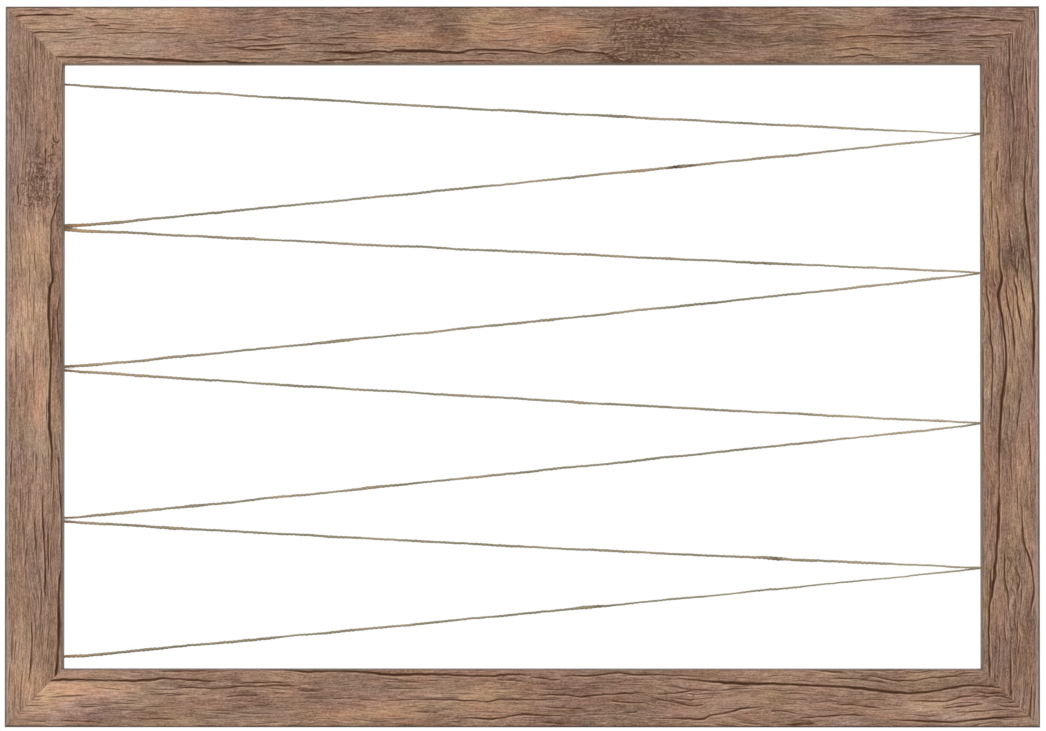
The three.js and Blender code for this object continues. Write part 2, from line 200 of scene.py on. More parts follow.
class Shader(Nodes):
    """A material with one surface. Lengths are in mm"""

    def __init__(self, name):
        self.material = bpy.data.materials.new(name)
        super().__init__(self.material)
        self.surface = self.add("ShaderNodeBsdfPrincipled")
        self.add("ShaderNodeOutputMaterial", {"Surface": self.surface.outputs["BSDF"]})

    def set(self, **inputs):
        """Sets the surface and gives the material"""
        for key, value in inputs.items():
            self.put(value, self.surface.inputs[key.replace("_", " ")])
        return self.material

    def math(self, operation, *values, clamp=False):
        """One step of arithmetic. MULTIPLY_ADD takes the value, the factor and what is added"""
        node = self.add("ShaderNodeMath", dict(enumerate(values)), operation=operation, use_clamp=clamp)
        return node.outputs[0]

    def total(self, *values, operation="ADD"):
        """All the values joined by one operation"""
        result = values[0]
        for value in values[1:]:
            result = self.math(operation, result, value)
        return result

    def product(self, *values):
        return self.total(*values, operation="MULTIPLY")

    def field(self, name, output="Fac"):
        """A number or vector that piece() keeps on the points"""
        return self.add("ShaderNodeAttribute", attribute_name=name).outputs[output]

    def object_place(self):
        """The place on the object in mm"""
        place = self.add("ShaderNodeTexCoord").outputs["Object"]
        return self.add("ShaderNodeVectorMath", {0: place, "Scale": 1 / MM}, operation="SCALE").outputs[0]

    def stretched(self, place, lengths, seed=0.0):
        """The place counted in lengths, and moved by the seed"""
        scale = [1 / length for length in lengths]
        shift = [seed, seed * 0.7, seed * 1.3]
        return self.add("ShaderNodeMapping", {"Vector": place, "Scale": scale, "Location": shift}).outputs[0]

    def noise(self, place, lengths, detail=2.0, roughness=0.5, seed=0.0, strength=None):
        """Noise from 0 to 1 or, with a strength, that much above and below zero"""
        node = self.add("ShaderNodeTexNoise", {"Vector": self.stretched(place, lengths, seed), "Scale": 1.0,
                                               "Detail": detail, "Roughness": roughness})
        if strength is None:
            return node.outputs["Fac"]
        return self.math("MULTIPLY_ADD", node.outputs["Fac"], 2 * strength, -strength)

    def cells(self, place, lengths, seed=0.0):
        """How far each place lies from the edge of its cell"""
        inputs = {"Vector": self.stretched(place, lengths, seed), "Scale": 1.0}
        return self.add("ShaderNodeTexVoronoi", inputs, feature="DISTANCE_TO_EDGE").outputs["Distance"]

    def dashes(self, place, spacing, width, share, busy, seed):
        """Tapered lines along the grain, at most one to a cell. Gives how far inside a line each place lies,
        in mm, and the same for the lit edge beside it"""
        local = self.stretched(place, (*spacing, 1), seed)
        cell = self.add("ShaderNodeTexVoronoi", {"Vector": local, "Scale": 1.0}, voronoi_dimensions="2D")
        ends = {0: local, 1: cell.outputs["Position"]}
        away = self.add("ShaderNodeVectorMath", ends, operation="SUBTRACT")
        parts = self.add("ShaderNodeSeparateXYZ", {0: away.outputs[0]})
        chance = self.add("ShaderNodeSeparateColor", {0: cell.outputs["Color"]})
        x = parts.outputs[0]
        lean = self.product(self.math("SUBTRACT", chance.outputs[2], 0.5), DASH_LEAN * spacing[0])
        y = self.math("MULTIPLY_ADD", x, lean, self.product(parts.outputs[1], spacing[1]))
        taper = self.math("MULTIPLY_ADD", self.product(x, x), -DASH_TAPER, 1.0)
        size = self.math("MULTIPLY_ADD", chance.outputs[1], width / 2, width / 4)
        missing = self.math("SUBTRACT", chance.outputs[0], self.product(busy, 2 * share))
        half = self.math("SUBTRACT", self.product(size, taper), self.fade(missing, 0, 0.02, 0, DASH_MISSING))
        dark = self.math("SUBTRACT", half, self.math("ABSOLUTE", y))
        lit = self.math("SUBTRACT", half, self.math("ABSOLUTE", self.math("ADD", y, width)))
        return dark, lit

    def fade(self, value, low, high, at_low=0.0, at_high=1.0):
        """A smooth change from at_low, where the value is low, to at_high, where it is high"""
        inputs = dict(enumerate((value, low, high, at_low, at_high)))
        return self.add("ShaderNodeMapRange", inputs, interpolation_type="SMOOTHSTEP").outputs[0]

    def mix(self, share, first, second, blend="MIX"):
        """The first colour, with that share of the second laid over it"""
        node = self.add("ShaderNodeMix", data_type="RGBA", blend_type=blend)
        for entry, number in ((share, 0), (first, 6), (second, 7)):
            self.put(entry, node.inputs[number])
        return node.outputs[2]

    def ramp(self, value, *stops):
        """Each stop is a place from 0 to 1 and a screen colour"""
        node = self.add("ShaderNodeValToRGB", {0: value})
        marks = node.color_ramp.elements
        while len(marks) < len(stops):
            marks.new(0.5)
        for mark, (place, *colour) in zip(marks, stops):
            mark.position = place
            mark.color = linear(*colour)
        return node.outputs["Color"]

    def bump(self, height, depth):
        return self.add("ShaderNodeBump", {"Height": height, "Distance": depth}).outputs["Normal"]


# Camera: the photo's view, a little low and a little turned, from 2.7 m

CAMERA_PLACE = (0.0113, -2.7, -0.0298)
CAMERA_RISE = 0.649
CAMERA_YAW = 0.229
CAMERA_LENS = 145.1
CAMERA_SENSOR = 36


def add_camera():
    data = bpy.data.cameras.new("camera")
    data.lens = CAMERA_LENS
    data.sensor_width = CAMERA_SENSOR
    camera = new_object("camera", data)
    camera.location = CAMERA_PLACE
    camera.rotation_euler = (math.radians(90 + CAMERA_RISE), 0, math.radians(CAMERA_YAW))
    bpy.context.scene.camera = camera


# Twine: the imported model's route, with the sag of each run drawn out

RUN_STEP = 0.8 * MM
TURN_STEPS = 12
# The steps of a turn and of a run in a coarser path of the cord, which add_twine works out and leaves unused
DECLARED_STEPS = (6, 2)
TWIST_LENGTH = 9 * MM
PLIES = 3
PLY_SIDES = 5
# A ply's distance from the twine's middle and its radius, as shares of the diameter, and its unevenness
PLY_LEAN = 0.16
PLY_SIZE = 0.35
PLY_UNEVENNESS = 0.09
# How far apart the plies lie in the pattern of the fibres, in mm
PLY_SHIFT = 9
KNOT_THICKNESS = 0.78
KNOT_LOOP = 0.46 * MM
KNOT_RISE = 0.42 * MM
# The points of a knot's tail, in mm beside and above the knot
KNOT_TAIL = [(-0.4, -2.6), (-0.5, -5), (-0.2, -9)]

# Runs are counted from the top. A thick or thin place is its run, share from the left, length in mm and how
# much it adds to the thickness
SLUBS = [
    (0, 0.004, 16, -0.2), (0, 0.02, 120, -0.24), (0, 0.045, 9, 0.1), (0, 0.6, 14, 0.35),
    (0, 0.985, 60, -0.32), (1, 0.006, 26, 0.28), (1, 0.055, 12, 0.2), (1, 0.63, 16, 0.3),
    (1, 0.674, 12, 0.65), (1, 0.7, 16, 0.25), (1, 0.985, 40, -0.15), (2, 0.006, 26, 0.24),
    (2, 0.2, 12, 0.25), (2, 0.66, 8, 0.3), (3, 0.004, 16, -0.2), (3, 0.3, 20, 0.3), (3, 0.53, 11, 0.35),
    (3, 0.92, 10, 0.3), (3, 0.945, 16, 0.4), (4, 0.004, 16, -0.2), (4, 0.56, 14, 0.35), (4, 0.955, 7, 0.4),
    (5, 0.004, 20, -0.35), (5, 0.14, 12, 0.45), (5, 0.33, 16, 0.3), (6, 0.004, 20, -0.35),
    (6, 0.12, 9, 0.3), (6, 0.774, 14, 0.6), (6, 0.81, 22, 0.4), (7, 0.09, 9, 0.3), (7, 0.22, 14, 0.25),
    (7, 0.57, 12, 0.55), (7, 0.82, 260, -0.25),
]
# Dark flecks in the thick places: run, share from the left, length in mm and strength
FLECKS = [
    (1, 0.667, 9, 1.0), (1, 0.685, 7, 0.8), (6, 0.777, 6, 0.6), (7, 0.583, 6, 0.6), (7, 0.598, 6, 0.45),
]
# Chance wander: how much, the length of its waves in mm, and a seed. The first two amounts are in mm
HEIGHT_WANDER = [(0.16, 34, 21), (0.08, 11, 22)]
DEPTH_WANDER = [(0.15, 29, 23)]
THICKNESS_WANDER = [(0.09, 48, 24), (0.05, 13, 25)]

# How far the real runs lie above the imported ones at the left, in the middle and at the right, in mm
RUN_SETTLING = [
    (0.1, -1.1, -0.7), (-1.0, -1.2, -1.0), (-0.2, 0, 0.2), (-0.7, -1.15, -0.3), (-0.2, -1.05, -0.1),
    (-0.65, -0.6, -0.7), (0, -0.65, 0), (-0.7, -0.5, -0.5),
]
SETTLING_REACH = 12 * MM

# Loose fibres all along the twine, with lengths and radii from least to most in mm
FIBRE_COUNT = 3400
FIBRE_LENGTHS = (0.7, 1.9)
LONG_FIBRE_LENGTHS = (2.5, 6)
SHORT_SHARE = 0.94
FIBRE_RADII = (0.02, 0.04)
FIBRE_ROOT = 0.5 * MM
FIBRE_MARGIN = 6 * MM
FIBRE_THICKNESS = 0.9
# Where along the frame, in mm from its middle, the fibres start to turn pale with painted light
FIBRES_PAINTED_LIGHT_FROM = 40
# How many frayed fibres lie between the two strands at each turn on the left, counted from the top
FRAY_COUNTS = {1: 26, 2: 5, 3: 5}
FRAY_LENGTHS = (3, 10.5)
FRAY_RADII = (0.08, 0.17)
FRAY_TINT = -0.8
# Where a frayed fibre starts, back from the twine and up from the turn, and how it leans, in mm
FRAY_BACK = (-0.5, 0.4)
FRAY_UP = (-1.3, 1.1)
FRAY_LEAN_BACK = (-0.06, 0.06)
FRAY_LEAN_UP = (-0.08, 0.1)
FRAY_DRIFT = (-0.5, 0.5)


def left_turn(share, steps):
    """A turn behind the left lip, its two strands one above the other"""
    z = share * OPENING_HALF_HEIGHT
    half = STRAND_PITCH / 2
    turn = arc(-TURN_X, z, half, math.pi / 2, 1.5 * math.pi, steps)
    return [(-PIN_X, TWINE_Y, z + half), *[(x, TWINE_Y, arc_z) for x, arc_z in turn],
            (-PIN_X, TWINE_Y, z - half)]


def right_turn(share, steps):
    """A turn behind the right lip, its two strands one behind the other"""
    z = share * OPENING_HALF_HEIGHT
    half = STRAND_PITCH / 2
    turn = arc(TURN_X, TWINE_Y + half, half, -math.pi / 2, math.pi / 2, steps)
    return [(PIN_X, TWINE_Y, z), *[(x, arc_y, z) for x, arc_y in turn], (PIN_X, TWINE_Y + STRAND_PITCH, z)]


def twine_end(share):
    """One end of the twine, from its knot to its staple"""
    z = share * OPENING_HALF_HEIGHT
    return [(-PIN_X - STAPLE_WIRE_WIDTH / 2 - SEAT_GAP, TWINE_Y, z), (-PIN_X, TWINE_Y, z)]


def sagging(start, end, steps):
    """The points between two pins, lowest in the middle"""
    start, end = np.array(start), np.array(end)
    shares = np.arange(1, steps) / steps
    points = start + shares[:, None] * (end - start)
    points[:, 2] -= 4 * TWINE_SAG * shares * (1 - shares)
    return points.tolist()


def twine_route(turn_steps, run_steps):
    """The whole line, and for each of its points the run it is in, counted from the top, or -1 at a turn"""
    turns = [twine_end(LEFT_TURN_SHARES[0])]
    for share, next_share in zip(RIGHT_TURN_SHARES, LEFT_TURN_SHARES[1:]):
        turns += [right_turn(share, turn_steps), left_turn(next_share, turn_steps)]
    turns[-1] = twine_end(LEFT_TURN_SHARES[-1])[::-1]
    line, runs = list(turns[0]), [-1] * len(turns[0])
    for number, turn in enumerate(turns[1:]):
        between = sagging(line[-1], turn[0], run_steps)
        line += [*between, *turn]
        runs += [number] * len(between) + [-1] * len(turn)
    return np.array(line), np.array(runs)


def share_from_left(line):
    """0 at the left side of the opening and 1 at the right"""
    return (line[:, 0] + OPENING_HALF_WIDTH) / (2 * OPENING_HALF_WIDTH)


def settle(line, runs):
    """Moves the open runs to the heights that the photo shows. Gives how free each point is of its pins"""
    inside = np.clip(OPENING_HALF_WIDTH - np.abs(line[:, 0]), 0, None)
    free = np.minimum(1, inside / SETTLING_REACH) * (runs >= 0)
    share = share_from_left(line)
    left, middle, right = np.array(RUN_SETTLING)[runs].T
    line[:, 2] += free * MM * (left * (1 - share) * (1 - 2 * share) + middle * 4 * share * (1 - share)
                               + right * share * (2 * share - 1))
    return free


def lengths_along(line):
    """How far along the line each point lies"""
    return np.concatenate([[0], np.cumsum(np.linalg.norm(np.diff(line, axis=0), axis=1))])


def sides_of(line):
    """Two directions square to the line at each point, carried along it without twist"""
    ahead = np.gradient(line, axis=0)
    ahead /= np.linalg.norm(ahead, axis=1)[:, None]
    side = np.cross(ahead[0], (0.0, 1.0, 0.0))
    first = np.empty_like(line)
    for index, way in enumerate(ahead):
        side = side - way * side.dot(way)
        side /= np.linalg.norm(side)
        first[index] = side
    return first, np.cross(ahead, first)


def yarn(name, line, thickness, material, tint=0, fleck=0, **rest):
    """Plies twisted about a line. At each point, thickness is a share of the diameter, tint goes from -1 for
    brown to 1 for pale, where pale is painted light, and fleck from 0 to 1"""
    first, second = sides_of(line)
    along = lengths_along(line)
    angle = TURN * np.arange(PLY_SIDES) / PLY_SIDES
    points, fibres, faces = [], [], []
    for ply in range(PLIES):
        turn = TURN * (along / TWIST_LENGTH + ply / PLIES)
        lean = TWINE_DIAMETER * thickness * PLY_LEAN
        middle = line + (lean * np.cos(turn))[:, None] * first + (lean * np.sin(turn))[:, None] * second
        rough = 1 + PLY_UNEVENNESS * wander(along[:, None] / MM * 2, angle[None, :] * 3, 7, 11 + ply)
        out = (TWINE_DIAMETER * thickness * PLY_SIZE)[:, None] * rough
        spin = turn[:, None] + angle[None, :]
        ring = (middle[:, None, :] + (out * np.cos(spin))[..., None] * first[:, None, :]
                + (out * np.sin(spin))[..., None] * second[:, None, :])
        faces += ring_faces(len(line), PLY_SIDES, len(points) * len(line) * PLY_SIDES)
        points.append(ring.reshape(-1, 3))
        fibre = np.broadcast_arrays(along[:, None] / MM, angle * TWINE_DIAMETER / 2 / MM, PLY_SHIFT * ply)
        fibres.append(np.stack(fibre, -1).reshape(-1, 3))
    fields = {"fibre_place": np.concatenate(fibres)}
    for key, value in (("thickness", thickness), ("tint", tint), ("fleck", fleck)):
        fields[key] = np.tile(np.repeat(np.broadcast_to(value, len(line)), PLY_SIDES), PLIES)
    return piece(name, np.concatenate(points), faces, material, fields=fields, sharp=180, **rest)


def jute_material():
    """Grey-brown plant fibre with long streaks along the plies. A negative tint and thickness lead it to
    brown, a positive tint to pale, which is painted light, and fleck to dark"""
    shader = Shader("jute")
    place = shader.field("fibre_place", "Vector")
    tint = shader.field("tint")
    streaks = shader.noise(place, (7, 0.35, 1), 3, 0.6)
    stretches = shader.noise(place, (42, 400, 400), 2, 0.5, seed=3.1)
    thick = shader.fade(shader.field("thickness"), 0.9, 1.5)
    tone = shader.total(shader.product(streaks, 0.6), shader.product(stretches, 0.55))
    grey = shader.ramp(tone, (0.28, 112, 107, 87), (0.6, 162, 157, 133), (0.9, 206, 200, 176))
    brown = shader.ramp(tone, (0.28, 142, 110, 81), (0.6, 195, 162, 127), (0.9, 228, 200, 166))
    warm = shader.math("MULTIPLY_ADD", thick, 0.3, shader.fade(stretches, 0.45, 0.65, 0.0, 0.3))
    warm = shader.math("ADD", warm, shader.fade(tint, 0, -1), clamp=True)
    colour = shader.mix(warm, grey, brown)
    # Painted light: where the tint is above zero the twine is paled
    colour = shader.mix(shader.fade(tint, 0, 1, 0, 0.45), colour, linear(213, 198, 170))
    colour = shader.mix(shader.product(shader.field("fleck"), 0.85), colour, linear(84, 68, 58))
    height = shader.noise(place, (4, 0.16, 1), 2, 0.6, seed=8.0)
    return shader.set(Base_Color=colour, Roughness=0.92, Sheen_Weight=0.1, Sheen_Roughness=0.5,
                      Specular_IOR_Level=0.15, Normal=shader.bump(height, 0.12 * MM))


def hair(points, faces, root, way, length, radius, drift):
    """One loose fibre: three sides, thinner towards its tip"""
    steps, sides = 4, 3
    way = way.normalized()
    side = way.orthogonal().normalized()
    other = way.cross(side)
    faces += ring_faces(steps + 1, sides, len(points))
    for step in range(steps + 1):
        share = step / steps
        middle = root + way * length * share + drift * share * share
        thin = radius * (1 - 0.75 * share)
        for number in range(sides):
            angle = TURN * number / sides
            points.append(middle + (side * math.cos(angle) + other * math.sin(angle)) * thin)


def add_frays(points, faces):
    """Fibres that come out of the staples on the left and lie between the strands. Gives each point's place
    in the material, which differs from fibre to fibre"""
    chance = random.Random(6)
    places = []
    for turn, count in FRAY_COUNTS.items():
        z = LEFT_TURN_SHARES[turn] * OPENING_HALF_HEIGHT
        for _ in range(count):
            start = len(points)
            root = Vector((-OPENING_HALF_WIDTH - MM, TWINE_Y + chance.uniform(*FRAY_BACK) * MM,
                           z + chance.uniform(*FRAY_UP) * MM))
            way = Vector((1, chance.uniform(*FRAY_LEAN_BACK), chance.uniform(*FRAY_LEAN_UP)))
            length = chance.uniform(*FRAY_LENGTHS) * MM
            drift = Vector((0, 0, chance.uniform(*FRAY_DRIFT) * MM))
            hair(points, faces, root, way, length, chance.uniform(*FRAY_RADII) * MM, drift)
            places += [[chance.uniform(0, 900), chance.uniform(0, 9), 0]] * (len(points) - start)
    return places


def add_loose_fibres(line, material):
    """Short fibres that stand off the twine all along its open runs, and the frayed ones at its turns"""
    chance = random.Random(5)
    first, second = sides_of(line)
    points, faces = [], []
    inside = [i for i, p in enumerate(line) if abs(p[0]) < OPENING_HALF_WIDTH - FIBRE_MARGIN]
    for _ in range(FIBRE_COUNT):
        at = chance.choice(inside)
        angle = chance.uniform(0, TURN)
        out = Vector(first[at]) * math.cos(angle) + Vector(second[at]) * math.sin(angle)
        ahead = Vector(line[at + 1] - line[at]).normalized() * chance.choice((-1, 1))
        lengths = FIBRE_LENGTHS if chance.random() < SHORT_SHARE else LONG_FIBRE_LENGTHS
        length = MM * chance.uniform(*lengths)
        way = ahead * chance.uniform(0.4, 1.6) + out
        drift = Vector([chance.uniform(-0.3, 0.3) * length for _ in range(3)])
        root = Vector(line[at]) + out * FIBRE_ROOT
        hair(points, faces, root, way, length, chance.uniform(*FIBRE_RADII) * MM, drift)
    place = [[p[0] / MM, 0, 0] for p in points]
    # Painted light: the fibres pale towards the right side
    tint = ease(np.array(place)[:, 0], FIBRES_PAINTED_LIGHT_FROM, OPENING_HALF_WIDTH / MM)
    frays = add_frays(points, faces)
    fields = {"fibre_place": np.array(place + frays), "thickness": np.full(len(points), FIBRE_THICKNESS),
              "tint": np.concatenate([tint, np.full(len(frays), FRAY_TINT)])}
    return piece("twine_fibres", points, faces, material, slot="jute_twine", fields=fields, sharp=180)


def add_knot(name, node, share, material):
    """An overhand knot in the twine's own end, with a short tail that lies on the ledge"""
    centre = sum(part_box(node), Vector()) / 2
    turns = np.linspace(math.pi + 0.5, 3 * math.pi - 0.5, 48)
    x = KNOT_LOOP * (np.cos(turns) - 2 * np.cos(2 * turns))
    z = KNOT_LOOP * (np.sin(turns) + 2 * np.sin(2 * turns))
    y = -KNOT_RISE * np.sin(3 * turns)
    lump = np.stack([-x, y, z], -1) + np.array(centre)
    on_ledge = LEDGE_Y + TWINE_DIAMETER / 2
    tail = [Vector((centre.x + beside * MM, depth, centre.z + above * MM))
            for (beside, above), depth in zip(KNOT_TAIL, (centre.y, on_ledge, on_ledge))]
    line = smooth_line([twine_end(share)[0], *lump[::4], *tail], 6)
    thickness = KNOT_THICKNESS + 0.05 * wander(lengths_along(line) / MM, 0, 5, 7)
    return yarn(name, line, thickness, material, slot="jute_twine", stands_for=[node])


def wanders(along, rows):
    """The sum of some chance wanders along the twine"""
    return sum(much * wander(along, 0, length, seed) for much, length, seed in rows)


def twine_looks(line, runs, along):
    """Thickness, tint and fleck at each point. The twine is thicker and browner near the left side, where it
    has frayed, and thinner near the right, where it is also paler with painted light"""
    from_left = share_from_left(line)
    rise = line[:, 2] / OPENING_HALF_HEIGHT

    def nearness(run, share, length):
        near = np.where(runs == run, np.abs(from_left - share) * 2 * OPENING_HALF_WIDTH / MM, np.inf)
        return np.exp(-(near / length * 2) ** 2)

    thickness = 1.04 + 0.22 * ease(from_left, 0.18, 0.04) - 0.16 * ease(from_left, 0.8, 1)
    thickness += wanders(along, THICKNESS_WANDER)
    in_opening = ease(OPENING_HALF_WIDTH - np.abs(line[:, 0]), -2 * MM, 0)
    for run, share, length, extra in SLUBS:
        thickness += extra * nearness(run, share, length) * in_opening
    brown = 0.8 * ease(from_left, 0.045, 0) + 0.2 * ease(from_left, 0.2, 0.02)
    # The rise of the tint towards the right side is painted light, and the brown below zero is the fray's
    # own colour
    tint = ease(from_left, 0.75, 1) - brown * (0.55 + 0.45 * ease(rise, -0.2, 0.4)) * (rise < 0.8)
    fleck = sum(strength * nearness(run, share, length) for run, share, length, strength in FLECKS)
    return np.clip(thickness, 0.6, 1.6), tint, fleck


def add_twine():
    material = jute_material()
    line, runs = twine_route(TURN_STEPS, int(2 * OPENING_HALF_WIDTH / RUN_STEP))
    along = lengths_along(line) / MM
    free = settle(line, runs)
    line[:, 2] += free * MM * wanders(along, HEIGHT_WANDER)
    line[:, 1] += free * MM * wanders(along, DEPTH_WANDER)
    thickness, tint, fleck = twine_looks(line, runs, along)
    twine = yarn("laced_twine", line, thickness, material, tint, fleck, slot="jute_twine",
                 stands_for=["twine"])
    fibres = add_loose_fibres(line, material)
    upper = add_knot("upper_twine_knot", "upper_knot", LEFT_TURN_SHARES[0], material)
    lower = add_knot("lower_twine_knot", "lower_knot", LEFT_TURN_SHARES[-1], material)
    route, route_runs = twine_route(*DECLARED_STEPS)
    settle(route, route_runs)


# Print on the wood, in mm along each rail from its left or upper end and in from its outer edge

